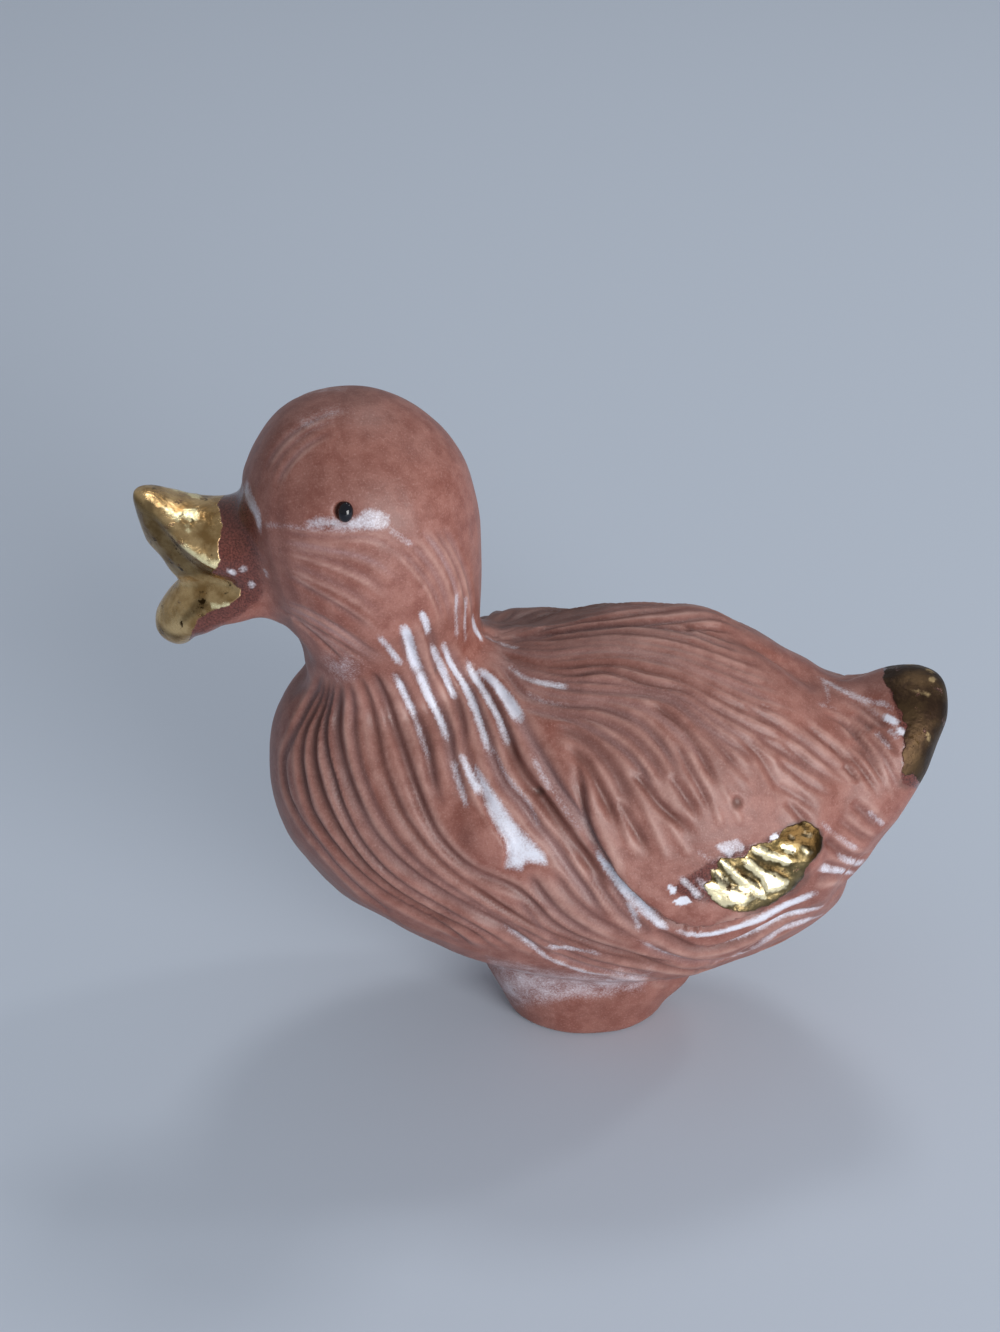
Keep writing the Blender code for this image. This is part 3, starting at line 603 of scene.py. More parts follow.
# Places pushed out, or in where negative: place, radius and amount in mm. A place on the near
# side has its like on the far one.
PUSHES = (
    ((11.3, -7.8, 10.2), 4.4, -0.55),
    ((14.8, -6.8, 11.2), 3.8, -0.42),
    ((17.2, -6.0, 12.4), 3.2, -0.40),
    ((19.4, -7.0, 17.4), 3.0, -0.60),
    ((21.2, -6.0, 19.5), 2.8, -0.35),
    ((25.4, -3.3, 26.9), 2.4, -0.20),
    ((19.6, -3.4, 29.2), 3.2, -0.42),
    ((-20.4, -5.8, 16.7), 4.2, -0.34),
    ((-16.0, -6.6, 13.2), 4.2, -0.34),
    ((-12.0, -7.8, 12.0), 3.6, -0.24),
    ((-31.3, 0.0, 41.2), 1.8, -0.42),
    ((-30.7, 0.0, 39.9), 1.5, -0.40),
    ((-23.8, 0.0, 50.4), 3.2, -0.24),
    ((-21.4, 0.0, 33.6), 3.6, -0.75),
    ((-24.4, 0.0, 35.6), 2.6, -0.35),
    ((-21.9, 0.0, 31.4), 2.4, -0.30),
    ((26.0, 0.0, 24.0), 3.0, 0.35),
    ((-27.4, 0.0, 34.8), 2.8, -0.60),
    ((-25.0, 0.0, 35.2), 2.6, -0.45),
    ((-28.4, -1.5, 35.2), 2.2, -0.50),
    ((-26.3, -2.0, 36.0), 2.2, -0.74),
    ((-24.4, -2.2, 36.6), 2.2, -0.50),
    ((-21.4, -3.6, 35.8), 2.2, -0.30),
    ((-22.2, -3.0, 35.4), 2.4, -0.55),
    ((7.6, 0.0, 3.4), 3.6, 0.9),
    ((3.5, 0.0, 34.5), 10.0, 0.75),
    ((-7.0, 6.0, 33.2), 3.0, 0.45),
    ((-4.2, 6.0, 33.2), 2.6, 0.35),
    ((-8.8, -11.4, 16.6), 3.4, 0.45),
)

# The same where the places are pixels of the frame: back, breast lobe, the wing tip's rim
RIM_PUSHES = (
    ((700, 616), 3.6, 0.35),
    ((487, 845), 2.3, 0.45),
    ((474, 824), 1.9, 0.25),
    ((738, 908), 2.2, 0.50),
    ((775, 893), 2.2, 0.50),
    ((808, 862), 2.2, 0.45),
    ((700, 912), 2.0, 0.30),
)

# Places darkened brown: strength, outline in pixels of the frame. The first, inside the upper
# bill, is painted shade; the rest darken spots of the bill, the tail and the gilded wing tip
BROWN_AND_SHADE_AREAS = (
    # Painted shade on the inside of the upper bill
    (0.75, ((131, 490), (141, 499), (152, 511), (165, 526), (178, 541), (192, 554), (206, 564),
        (220, 572), (212, 580), (196, 577), (176, 577), (161, 558), (146, 538), (132, 510))),
    (0.60, ((192, 602), (199, 596), (206, 598), (211, 605), (201, 612), (190, 619), (182, 626),
        (179, 620), (187, 611))),
    (0.75, ((156, 620), (162, 626), (170, 632), (184, 636), (178, 641), (165, 637), (156, 628))),
    (0.70, ((144, 499), (157, 501), (154, 511), (163, 521), (177, 532), (166, 534), (152, 521),
        (144, 510))),
    (0.60, ((899, 779), (908, 775), (918, 777), (917, 786), (906, 791), (898, 788))),
    (1.10, ((712, 871), (720, 873), (732, 884), (742, 889), (756, 896), (752, 900), (738, 894),
        (728, 890), (715, 878))),
    (1.10, ((731, 862), (740, 867), (752, 877), (765, 888), (761, 891), (748, 882), (735, 873))),
    (1.00, ((754, 856), (768, 863), (780, 867), (791, 875), (786, 880), (774, 873), (759, 866))),
    (1.10, ((774, 838), (788, 824), (800, 820), (812, 822), (823, 832), (825, 846), (817, 860),
        (808, 864), (806, 851), (798, 846), (786, 843))),
    (0.60, ((732, 906), (750, 905), (768, 898), (788, 890), (800, 880), (805, 868), (812, 862),
        (810, 880), (796, 894), (770, 906), (745, 914))),
    (0.50, ((768, 846), (780, 849), (795, 853), (806, 858), (800, 861), (784, 856), (768, 851))),
)

# The back beyond its crest, where the far side is darkened as painted shade, in pixels of the frame
FAR_BACK = ((474, 606), (500, 600), (534, 598), (564, 600), (600, 594), (632, 594), (632, 603),
    (612, 606), (596, 611), (578, 616), (557, 620), (531, 625), (507, 629), (480, 629))

# Gold lustre: window, whether it goes right through the figurine, outline
GOLD_AREAS = (
    (HEAD, True, ((30, 400), (395, 400), (400, 515), (415, 600), (425, 650), (405, 720), (410, 800),
        (375, 840), (430, 870), (500, 905), (495, 935), (440, 975), (370, 1000), (320, 1030),
        (300, 1070), (290, 1100), (285, 1180), (30, 1180))),
    (FRAME, False, ((702, 884), (708, 894), (713, 901), (722, 906), (735, 910), (752, 908),
        (770, 902), (790, 892), (802, 882), (806, 870), (813, 861), (821, 850), (823, 838),
        (818, 828), (806, 822), (794, 824), (783, 829), (778, 836), (771, 842), (759, 843),
        (751, 847), (745, 857), (735, 859), (721, 857), (717, 862), (717, 869), (711, 870),
        (712, 880))),
    (TAIL, True, ((680, 200), (676, 262), (692, 300), (690, 338), (712, 372), (742, 410), (744, 446),
        (772, 490), (802, 520), (796, 556), (824, 590), (804, 650), (812, 704), (792, 742),
        (806, 800), (792, 846), (812, 872), (848, 862), (872, 884), (900, 930), (1200, 930),
        (1200, 200))),
)

# Red-brown glaze, thick and glossy, under and around the gold: softness of its edge in mm,
# whether it goes right through the figurine, outline in pixels of the frame
WINE_AREAS = (
    (1.5, True, ((200, 470), (238, 482), (249, 502), (255, 525), (259, 550), (262, 575), (262, 590),
        (240, 602), (205, 602), (140, 602), (140, 470))),
    (0.7, True, ((150, 580), (205, 580), (232, 590), (256, 585), (264, 590), (258, 602), (240, 615),
        (215, 628), (194, 640), (180, 652), (120, 652))),
    (0.7, False, ((672, 888), (684, 878), (700, 869), (715, 858), (728, 851), (745, 846), (760, 842),
        (772, 836), (782, 829), (778, 845), (760, 856), (745, 868), (725, 872), (715, 892),
        (722, 903), (704, 902), (688, 900))),
    (0.4, True, ((883, 650), (884, 676), (892, 700), (897, 715), (903, 740), (902, 765), (900, 776),
        (903, 784), (915, 788), (980, 790), (980, 650))),
)


def to_linear(code):
    """An sRGB hex colour as linear RGBA."""
    made = []
    for i in (1, 3, 5):
        share = int(code[i:i + 2], 16) / 255.0
        made.append(share / 12.92 if share <= 0.04045 else ((share + 0.055) / 1.055) ** 2.4)
    return (*made, 1.0)


def add_node(tree, kind, output, settings, inputs):
    """Adds a node with those settings, its inputs given as values or as sockets to link.

    The result is one of its outputs.
    """
    node = tree.nodes.new(kind)
    for key, value in settings.items():
        setattr(node, key, value)
    for key, value in inputs.items():
        if isinstance(value, bpy.types.NodeSocket):
            tree.links.new(value, node.inputs[key])
        else:
            node.inputs[key].default_value = value
    return node.outputs[output]


def deselect():
    """Deselects everything, so that an operator acts on what is chosen next."""
    bpy.ops.object.select_all(action="DESELECT")


def choose(obj):
    """Makes one object the selected and active one."""
    deselect()
    obj.select_set(True)
    bpy.context.view_layer.objects.active = obj


def apply_modifier(obj, kind, **settings):
    """Adds a modifier and applies it at once."""
    choose(obj)
    modifier = obj.modifiers.new(kind.lower(), kind)
    for key, value in settings.items():
        setattr(modifier, key, value)
    bpy.ops.object.modifier_apply(modifier=modifier.name)


def merged_copy(name, new_name):
    """A copy of a CAD node whose loose triangles are merged."""
    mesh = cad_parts[name].data.copy()
    welded = bmesh.new()
    welded.from_mesh(mesh)
    bmesh.ops.remove_doubles(welded, verts=welded.verts, dist=WELD * MM)
    welded.to_mesh(mesh)
    welded.free()
    made = bpy.data.objects.new(new_name, mesh)
    mesh.materials.clear()
    bpy.context.scene.collection.objects.link(made)
    return made


def to_frame(window, point):
    """A window's pixel as a pixel of the frame."""
    left, top, scale = window
    return (left + point[0] / scale, top + point[1] / scale)


def sight(pixel):
    """The direction in which the camera sees a pixel of the frame."""
    across = (pixel[0] - FRAME_WIDTH / 2.0) / FOCAL_PIXELS
    up = -(pixel[1] - FRAME_HEIGHT / 2.0) / FOCAL_PIXELS
    sine = math.sin(CAMERA_DOWN)
    cosine = math.cos(CAMERA_DOWN)
    return Vector((across, cosine + up * sine, up * cosine - sine)).normalized()


def seen_at(places):
    """The pixels where the camera would see some places, whatever hides them."""
    seen = places - np.array(CAMERA_PLACE)
    sine = math.sin(CAMERA_DOWN)
    cosine = math.cos(CAMERA_DOWN)
    deep = seen[:, 1] * cosine - seen[:, 2] * sine
    up = seen[:, 1] * sine + seen[:, 2] * cosine
    return np.stack([FRAME_WIDTH / 2.0 + FOCAL_PIXELS * seen[:, 0] / deep,
                     FRAME_HEIGHT / 2.0 - FOCAL_PIXELS * up / deep], axis=1)


def soft_path(points, step):
    """Points along a smooth curve through the given ones, a step apart."""
    ends = [points[0], *points, points[-1]]
    made = []
    for a, b, c, d in zip(ends, ends[1:], ends[2:], ends[3:]):
        count = max(1, int(math.dist(b, c) / step))
        for i in range(count):
            t = i / count
            made.append(tuple(
                0.5 * (2.0 * q + (r - p) * t + (2.0 * p - 5.0 * q + 4.0 * r - s) * t * t
                       + (3.0 * q - p - 3.0 * r + s) * t ** 3)
                for p, q, r, s in zip(a, b, c, d)))
    made.append(points[-1])
    return made


def evenly(points, count):
    """That many points at equal steps along a course."""
    dense = np.array(soft_path(points, 4.0))
    along = np.concatenate([[0.0], np.cumsum(np.linalg.norm(np.diff(dense, axis=0), axis=1))])
    steps = np.linspace(0.0, along[-1], count)
    return [tuple(p) for p in np.stack([np.interp(steps, along, dense[:, i]) for i in (0, 1)],
                                       axis=1)]


def on_skin(surface, window, points):
    """Where a course of a window's pixels lies on the surface, as metres."""
    made = []
    for pixel in soft_path([to_frame(window, p) for p in points], STROKE_STEP):
        hit = surface.ray_cast(CAMERA_PLACE, sight(pixel))[0]
        if hit:
            made.append(hit)
    return made


def vertex_data(mesh):
    """The places and normals of a mesh's vertices."""
    count = len(mesh.vertices)
    places = np.empty(count * 3)
    mesh.vertices.foreach_get("co", places)
    normals = np.empty(count * 3, np.float32)
    mesh.vertex_normals.foreach_get("vector", normals)
    return places.reshape(-1, 3), normals.reshape(-1, 3).astype(float)


def surface_tree(mesh):
    """A tree that finds points on a mesh's surface."""
    source = bmesh.new()
    source.from_mesh(mesh)
    tree = BVHTree.FromBMesh(source)
    source.free()
    return tree


def point_tree(places):
    """A tree that finds the nearest of some places."""
    tree = kdtree.KDTree(len(places))
    for i, place in enumerate(places):
        tree.insert(place, i)
    tree.balance()
    return tree


def near_place(tree, place, reach):
    """Vertices within reach of a place: their numbers and distances."""
    found = tree.find_range(place, reach)
    return (np.array([hit[1] for hit in found], int), np.array([hit[2] for hit in found]))


def near_course(tree, course, reach):
    """Vertices within reach of a course: numbers, distances, nearest points' numbers."""
    numbers = []
    distances = []
    steps = []
    for i, place in enumerate(course):
        for _, number, distance in tree.find_range(place, reach):
            numbers.append(number)
            distances.append(distance)
            steps.append(i)
    numbers = np.array(numbers, int)
    distances = np.array(distances, float)
    order = np.lexsort((distances, numbers))
    numbers = numbers[order]
    first = np.ones(len(numbers), bool)
    first[1:] = numbers[1:] != numbers[:-1]
    return numbers[first], distances[order][first], np.array(steps, int)[order][first]


def both_sides(course, near=0.3, far=0.3):
    """A course and its image on the far side, each as far as its own limit in mm lets it go."""
    kept = [p for p in course if p.y < near * MM]
    image = [Vector((p.x, -p.y, p.z)) for p in course if p.y < far * MM]
    return [pair for pair in ((kept, False), (image, True)) if len(pair[0]) > 1]


def hidden(surface, course):
    """The points of a course that the figurine hides from the camera."""
    kept = []
    for place in course:
        away = (CAMERA_PLACE - place).normalized()
        if surface.ray_cast(place + away * 0.3 * MM, away)[0]:
            kept.append(place)
    return kept


def smoothstep(values, low, high):
    """A soft step from 0 at the low value to 1 at the high one."""
    share = np.clip((values - low) / (high - low), 0.0, 1.0)
    return share * share * (3.0 - 2.0 * share)


def fading(shares, first, last, low=0.0):
    """How a course fades in over its first share and out over its last one."""
    return smoothstep(shares, low, first) * smoothstep(1.0 - shares, low, last)


def bell(distances, reach):
    """A bell curve from 1 at no distance to 0 at the reach."""
    return 0.5 + 0.5 * np.cos(math.pi * np.clip(distances / reach, 0.0, 1.0))


def store(mesh, name, values):
    """Keeps a number for each vertex under a name that the materials read."""
    layer = mesh.attributes.get(name) or mesh.attributes.new(name, "FLOAT", "POINT")
    layer.data.foreach_set("value", values.astype(np.float32))


def inside(pixels, outline, window=FRAME):
    """How many mm each pixel of the frame lies inside a window's outline, negative outside."""
    best = np.full(len(pixels), 1e6)
    odd = np.zeros(len(pixels), bool)
    corners = [np.array(to_frame(window, corner)) for corner in outline]
    for a, b in zip(corners, corners[1:] + corners[:1]):
        edge = b - a
        share = np.clip(((pixels - a) @ edge) / (edge @ edge), 0.0, 1.0)
        best = np.minimum(best, np.linalg.norm(pixels - a - share[:, None] * edge, axis=1))
        if a[1] != b[1]:
            crosses = (a[1] > pixels[:, 1]) != (b[1] > pixels[:, 1])
            odd ^= crosses & (pixels[:, 0] < a[0] + (pixels[:, 1] - a[1]) / edge[1] * edge[0])
    return np.where(odd, best, -best) * PIXEL_MM


def clay_skin(settings):
    """One closed skin over all the clay members, the slip seams filled."""
    copies = [merged_copy(name, "skin_" + name) for name in MEMBERS]
    for copy in copies:
        apply_modifier(copy, "DISPLACE", strength=settings.slip, mid_level=0.0)
    choose(copies[0])
    for copy in copies:
        copy.select_set(True)
    bpy.ops.object.join()
    skin = bpy.context.view_layer.objects.active
    skin.name = "clay_skin"
    apply_modifier(skin, "REMESH", mode="VOXEL", voxel_size=settings.voxel, adaptivity=0.0)
    apply_modifier(skin, "SMOOTH", factor=0.5, iterations=settings.smoothing)
    apply_modifier(skin, "DISPLACE", strength=-settings.slip, mid_level=0.0)
    skin.data.shade_smooth()
    return skin


def member_labels(places):
    """For each place, the number of the clay member that it lies nearest to."""
    corners = []
    faces = []
    owner = []
    for number, name in enumerate(MEMBERS):
        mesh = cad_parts[name].data
        start = len(corners)
        corners += [vertex.co.copy() for vertex in mesh.vertices]
        faces += [[start + i for i in face.vertices] for face in mesh.polygons]
        owner += [number] * len(mesh.polygons)
    tree = BVHTree.FromPolygons(corners, faces)
    return np.array([owner[tree.find_nearest(place)[2]] for place in places])


def sponge_seams(skin, settings):
    """Sponges the seams between members that run into each other, so that no step shows."""
    mesh = skin.data
    places = vertex_data(mesh)[0]
    labels = member_labels(places)
    names = list(MEMBERS)
    pairs = np.empty(len(mesh.edges) * 2, np.int32)
    mesh.edges.foreach_get("vertices", pairs)
    pairs = pairs.reshape(-1, 2)
    pairs = pairs[labels[pairs[:, 0]] != labels[pairs[:, 1]]]
    tree = point_tree(places)
    weight = np.zeros(len(places))
    for one, other, radius, axis, least, most in SEAMS:
        ends = {names.index(one), names.index(other)}
        seam = [places[a] for a, b in pairs if {labels[a], labels[b]} == ends]
        seam = [p for p in seam if least * MM < p[axis] < most * MM]
        numbers, distances, _ = near_course(tree, seam, radius * MM)
        if len(numbers):
            soft = 1.0 - smoothstep(distances, 0.4 * radius * MM, radius * MM)
            weight[numbers] = np.maximum(weight[numbers], soft)
    group = skin.vertex_groups.new(name="sponge")
    for step in range(1, 11):
        chosen = np.nonzero(np.round(weight * 10.0) == step)[0]
        group.add(chosen.tolist(), step / 10.0, "REPLACE")
    apply_modifier(skin, "SMOOTH", factor=0.5, iterations=settings.sponging,
                   vertex_group="sponge")


def strokes_of(combs):
    """The combs' single strokes, those between the drawn courses included."""
    chance = random.Random(BETWEEN_SEED)
    for window, width, deep, milk, between, courses in combs:
        for number, course in enumerate(courses):
            yield window, width, deep, milk, course
            if number + 1 < len(courses):
                count = max(len(course), len(courses[number + 1]))
                near = evenly(course, count)
                far = evenly(courses[number + 1], count)
                for i in range(between):
                    share = (i + 1.0) / (between + 1.0) + chance.uniform(-0.08, 0.08)
                    mixed = [tuple(p + (q - p) * share for p, q in zip(a, b))
                             for a, b in zip(near, far)]
                    yield window, width, deep * chance.uniform(0.5, 1.0), milk, mixed


def push_places(skin):
    """Pushes the clay in and out at the tables' places, and leaves room for what rises later."""
    mesh = skin.data
    places, normals = vertex_data(mesh)
    surface = surface_tree(mesh)
    pushes = [(Vector(place) * MM, radius, amount) for place, radius, amount in PUSHES]
    for pixel, radius, amount in RIM_PUSHES:
        pushes += [(place, radius, amount)
                   for place in on_skin(surface, FRAME, (pixel, pixel))[:1]]
    for place, radius, amount in pushes:
        for side in ((1.0, -1.0) if place.y < 0.0 else (1.0,)):
            centre = np.array((place.x, place.y * side, place.z))
            share = np.linalg.norm(places - centre, axis=1) / (radius * MM)
            swell = (1.0 - np.clip(share, 0.0, 1.0) ** 2) ** 2
            places += normals * (amount * MM * swell)[:, None]
    places[:, 1] *= WIDTH_SHARE
    mesh.vertices.foreach_set("co", places.ravel())
    mesh.update()


class Skin:
    """The clay skin's vertices, how far each is lifted, the layers of glaze and painted light."""

    def __init__(self, mesh):
        self.mesh = mesh
        self.places, self.normals = vertex_data(mesh)
        self.surface = surface_tree(mesh)
        self.tree = point_tree(self.places)
        self.lift = np.zeros(len(self.places))
        self.layers = {name: np.zeros(len(self.places)) for name in LAYERS}
        for name in ("gold", "wine", "painted_highlight"):
            self.layers[name] += OUTSIDE

    def raise_layer(self, name, values, numbers=slice(None)):
        """Raises a layer to the values where it is lower, at all or at some vertices."""
        layer = self.layers[name]
        layer[numbers] = np.maximum(layer[numbers], values)

    def side_of(self, course, numbers, steps, mirrored):
        """1 for vertices on the left of a course as drawn on the near side, else -1."""
        points = np.array(course)
        left = np.cross(self.normals[numbers], np.gradient(points, axis=0)[steps])
        side = np.sign((left * (self.places[numbers] - points[steps])).sum(axis=1))
        return -side if mirrored else side


def comb_furrows(skin):
    """Combs furrows with milky haze in each and a light line of dust and painted sheen at its edges."""
    chance = random.Random(COMB_SEED)
    for window, width, deep, milk, points in strokes_of(COMBS):
        reach = width * MM * STROKE_SPREAD * chance.uniform(0.8, 1.2)
        deep = deep * chance.uniform(0.7, 1.4)
        milk = milk * chance.uniform(0.2, 1.6)
        light = chance.uniform(-1.0, 1.0)
        for course, mirrored in both_sides(on_skin(skin.surface, window, points)):
            numbers, distances, steps = near_course(skin.tree, course, reach * 1.5)
            length = len(course)
            fade = smoothstep(steps, 0.0, min(FADE_IN, 0.25 * length))
            fade *= smoothstep(length - steps, 0.0, min(FADE_OUT, 0.4 * length))
            groove = (1.0 - np.clip(distances / reach, 0.0, 1.0) ** 1.5) ** 2 * fade
            skin.raise_layer("furrow", deep * groove, numbers)
            skin.raise_layer("haze", milk * groove, numbers)
            side = skin.side_of(course, numbers, steps, mirrored)
            line = np.exp(-((distances / reach - 1.0) / CREST_SHARE) ** 2) * fade
            line *= np.clip(0.6 + 0.6 * light * side, 0.0, 1.0)
            skin.raise_layer("crest", line, numbers)


def press_grooves(skin):
    """Presses the single grooves and raises the single ridges."""
    for width, deep, start, points in PRESSED:
        for course, _ in both_sides(on_skin(skin.surface, FRAME, points)):
            reach = width * MM * GROOVE_SPREAD
            numbers, distances, steps = near_course(skin.tree, course, reach)
            fade = fading(steps / len(course), start, 0.15, -0.02)
            swell = bell(distances, reach)
            skin.lift[numbers] -= deep * MM * swell * fade
            # Ridges get the light line of dust and painted sheen too
            if deep < 0.0:
                skin.raise_layer("crest", 0.7 * swell * fade, numbers)


def raise_lips(skin):
    """Raises the clay on one side of each lip's course."""
    for height, reach, points in LIPS:
        for course, mirrored in both_sides(on_skin(skin.surface, FRAME, points)):
            numbers, distances, steps = near_course(skin.tree, course, reach * MM)
            side = skin.side_of(course, numbers, steps, mirrored)
            fade = fading(steps / len(course), 0.2, 0.15)
            away = np.clip(distances / (reach * MM), 0.0, 1.0)
            sharp = 0.5 + 0.5 * np.tanh(side * distances / (LIP_EDGE * MM))
            skin.lift[numbers] += height * MM * sharp * (1.0 - away) ** 2 * fade


def sink_valley(skin):
    """Sinks the valley beyond the back's crest, where the furrows are shallower."""
    width, deep, points = VALLEY
    course = on_skin(skin.surface, FRAME, points)
    numbers, distances, steps = near_course(skin.tree, course, width * MM)
    swell = bell(distances, width * MM) * fading(steps / len(course), 0.3, 0.5)
    skin.lift[numbers] -= deep * MM * swell
    skin.layers["furrow"][numbers] *= 1.0 - 0.6 * swell


def pool_glaze_and_glints(skin):
    """Runs the milky glaze together along each course, and lays the white painted glints."""
    for window, start, end, strength, points in POOLS_AND_GLINTS:
        for course, mirrored in both_sides(on_skin(skin.surface, window, points),
                                           POOL_NEAR, POOL_FAR):
            course = hidden(skin.surface, course) if mirrored else course
            numbers, distances, steps = near_course(skin.tree, course, 1.0 * MM)
            if not len(numbers):
                continue
            shares = steps / len(course)
            wide = (start + (end - start) * shares) * STROKE_SPREAD
            spread = strength * np.minimum(wide / POOL_FULL, 1.0) * fading(shares, 0.2, 0.2, -0.15)
            reach = np.maximum(wide, POOL_LEAST) * MM
            spread *= 1.0 - np.clip(distances / reach, 0.0, 1.0) ** 2
            skin.raise_layer("pool_and_glint", spread, numbers)


def poke_pocks(skin):
    """Pokes the pocks and darkens them."""
    for window, point, radius, deep in POCKS:
        for place in on_skin(skin.surface, window, (point, point))[:1]:
            for side in (1.0, -1.0):
                centre = Vector((place.x, place.y * side, place.z))
                numbers, distances = near_place(skin.tree, centre, radius * MM * GROOVE_SPREAD)
                bowl = 1.0 - smoothstep(distances, 0.3 * radius * MM, 1.3 * radius * MM)
                skin.lift[numbers] -= deep * MM * bowl
                skin.raise_layer("shade", 0.7 * bowl, numbers)


def paint_areas(skin):
    """Marks where each outline of gold, glaze, painted highlight and shade lies, alike on both sides;
    the painted shade of the far back lies on the far side only.
    """
    nearer = skin.places.copy()
    nearer[:, 1] = -np.abs(nearer[:, 1])
    outward = skin.normals.copy()
    outward[:, 1] *= -np.sign(skin.places[:, 1])
    facing = ((np.array(CAMERA_PLACE) - nearer) * outward).sum(axis=1) > 0.0
    pixels = seen_at(nearer)
    flank = facing & (np.abs(nearer[:, 1]) > FLANK_FROM * MM)
    for window, through, outline in GOLD_AREAS:
        area = inside(pixels, outline, window)
        skin.raise_layer("gold", area if through else np.where(flank, area, OUTSIDE))
    for soft, through, outline in WINE_AREAS:
        area = inside(pixels, outline) / soft
        skin.raise_layer("wine", area if through else np.where(flank, area, OUTSIDE))
    # Painted highlights on the gold, each raised a little too
    for height, outline in PAINTED_HIGHLIGHTS:
        area = np.where(facing, inside(pixels, outline), OUTSIDE)
        skin.raise_layer("painted_highlight", area)
        skin.lift += height * MM * smoothstep(area, -0.12, 0.25)
    # Milky glaze, and painted white glints
    for strength, soft, outline in MILKY_AND_GLINT_AREAS:
        area = np.where(facing, inside(pixels, outline), OUTSIDE)
        skin.raise_layer("pool_and_glint", strength * smoothstep(area, -soft, soft))
    # Brown spots, and painted shade inside the upper bill
    for strength, outline in BROWN_AND_SHADE_AREAS:
        spread = strength * smoothstep(inside(pixels, outline), -0.15, 0.25)
        skin.raise_layer("shade", np.where(facing, spread, 0.0))
    # Painted shade on the far side of the back, beyond its crest
    beyond = smoothstep(inside(seen_at(skin.places), FAR_BACK), -0.1, 0.35)
    beyond *= (skin.places[:, 1] > 0.2 * MM) & (skin.places[:, 2] > 28.0 * MM)
    skin.raise_layer("shade", 0.6 * beyond)


def comb_skin(skin_object, settings):
    """Presses the combed relief into the skin, and notes where each glaze and painted light lies."""
    skin = Skin(skin_object.data)
    layers = skin.layers
    comb_furrows(skin)
    press_grooves(skin)
    raise_lips(skin)
    sink_valley(skin)
    pool_glaze_and_glints(skin)
    poke_pocks(skin)
    unevenness = np.array([noise.noise(Vector(place) * LUMPS) for place in skin.places])
    layers["furrow"] *= 1.0 + 0.5 * unevenness
    skin.lift += settings.unevenness * unevenness - layers["furrow"] * settings.furrow * MM
    paint_areas(skin)
    layers["crest"] *= 1.0 - np.clip(layers["furrow"] / FURROW_SHARP, 0.0, 1.0)
    layers["furrow"] = np.clip(layers["furrow"] / FURROW_FULL, 0.0, 1.2)
    low, high = CAD_BOX
    places = skin.places + skin.normals * skin.lift[:, None]
    places = np.clip(places, np.array(low), np.array(high) - BOX_MARGIN * MM)
    skin.mesh.vertices.foreach_set("co", places.ravel())
    skin.mesh.update()
    for name, values in layers.items():
        store(skin.mesh, name, np.clip(values, OUTSIDE, -OUTSIDE))


def cut_members(skin):
    """Cuts the finished skin into its members, which keep its normals, glazes and painted light."""
    places, normals = vertex_data(skin.data)
    tree = point_tree(places)
    layers = {}
    for name in LAYERS:
        values = np.empty(len(places), np.float32)
        skin.data.attributes[name].data.foreach_get("value", values)
        layers[name] = values
    rest = skin
    pieces = {}
    for name in list(MEMBERS)[:-1]:
        cutter = merged_copy(name, "cutter")
        apply_modifier(cutter, "DISPLACE", strength=CUTTER_MARGIN * MM, mid_level=0.0)
        apply_modifier(cutter, "REMESH", mode="VOXEL", voxel_size=CUTTER_GRAIN * MM)
        apply_modifier(cutter, "SMOOTH", factor=0.5, iterations=3)
        piece = rest.copy()
        piece.data = rest.data.copy()
        piece.name = name + "_clay"
        bpy.context.scene.collection.objects.link(piece)
        apply_modifier(piece, "BOOLEAN", operation="INTERSECT", solver="MANIFOLD",
                       object=cutter)
        apply_modifier(rest, "BOOLEAN", operation="DIFFERENCE", solver="MANIFOLD",
                       object=cutter)
        bpy.data.objects.remove(cutter, do_unlink=True)
        pieces[name] = piece
    rest.name = "torso_clay"
    pieces["torso"] = rest
    for name, piece in pieces.items():
        mesh = piece.data
        mesh.materials.clear()
        corners, _ = vertex_data(mesh)
        found = [tree.find(corner) for corner in corners]
        nearest = np.array([hit[1] for hit in found])
        away = np.array([hit[2] for hit in found])
        for layer, values in layers.items():
            store(mesh, layer, values[nearest])
        mesh.shade_smooth()
        loops = np.empty(len(mesh.loops), np.int32)
        mesh.loops.foreach_get("vertex_index", loops)
        wanted = np.zeros((len(loops), 3))
        skin_normal = normals[nearest]
        for face in mesh.polygons:
            ring = loops[face.loop_start:face.loop_start + face.loop_total]
            flat = np.array(face.normal)
            outer = away[ring].max() < SKIN_REACH * MM and (skin_normal[ring] @ flat).min() > 0.3
            wanted[face.loop_start:face.loop_start + face.loop_total] = (
                skin_normal[ring] if outer else flat)
        mesh.normals_split_custom_set(wanted.tolist())
    return pieces


def value_of(term):
    """A hex colour as linear RGBA, and any other term as it is."""
    return to_linear(term) if isinstance(term, str) else term


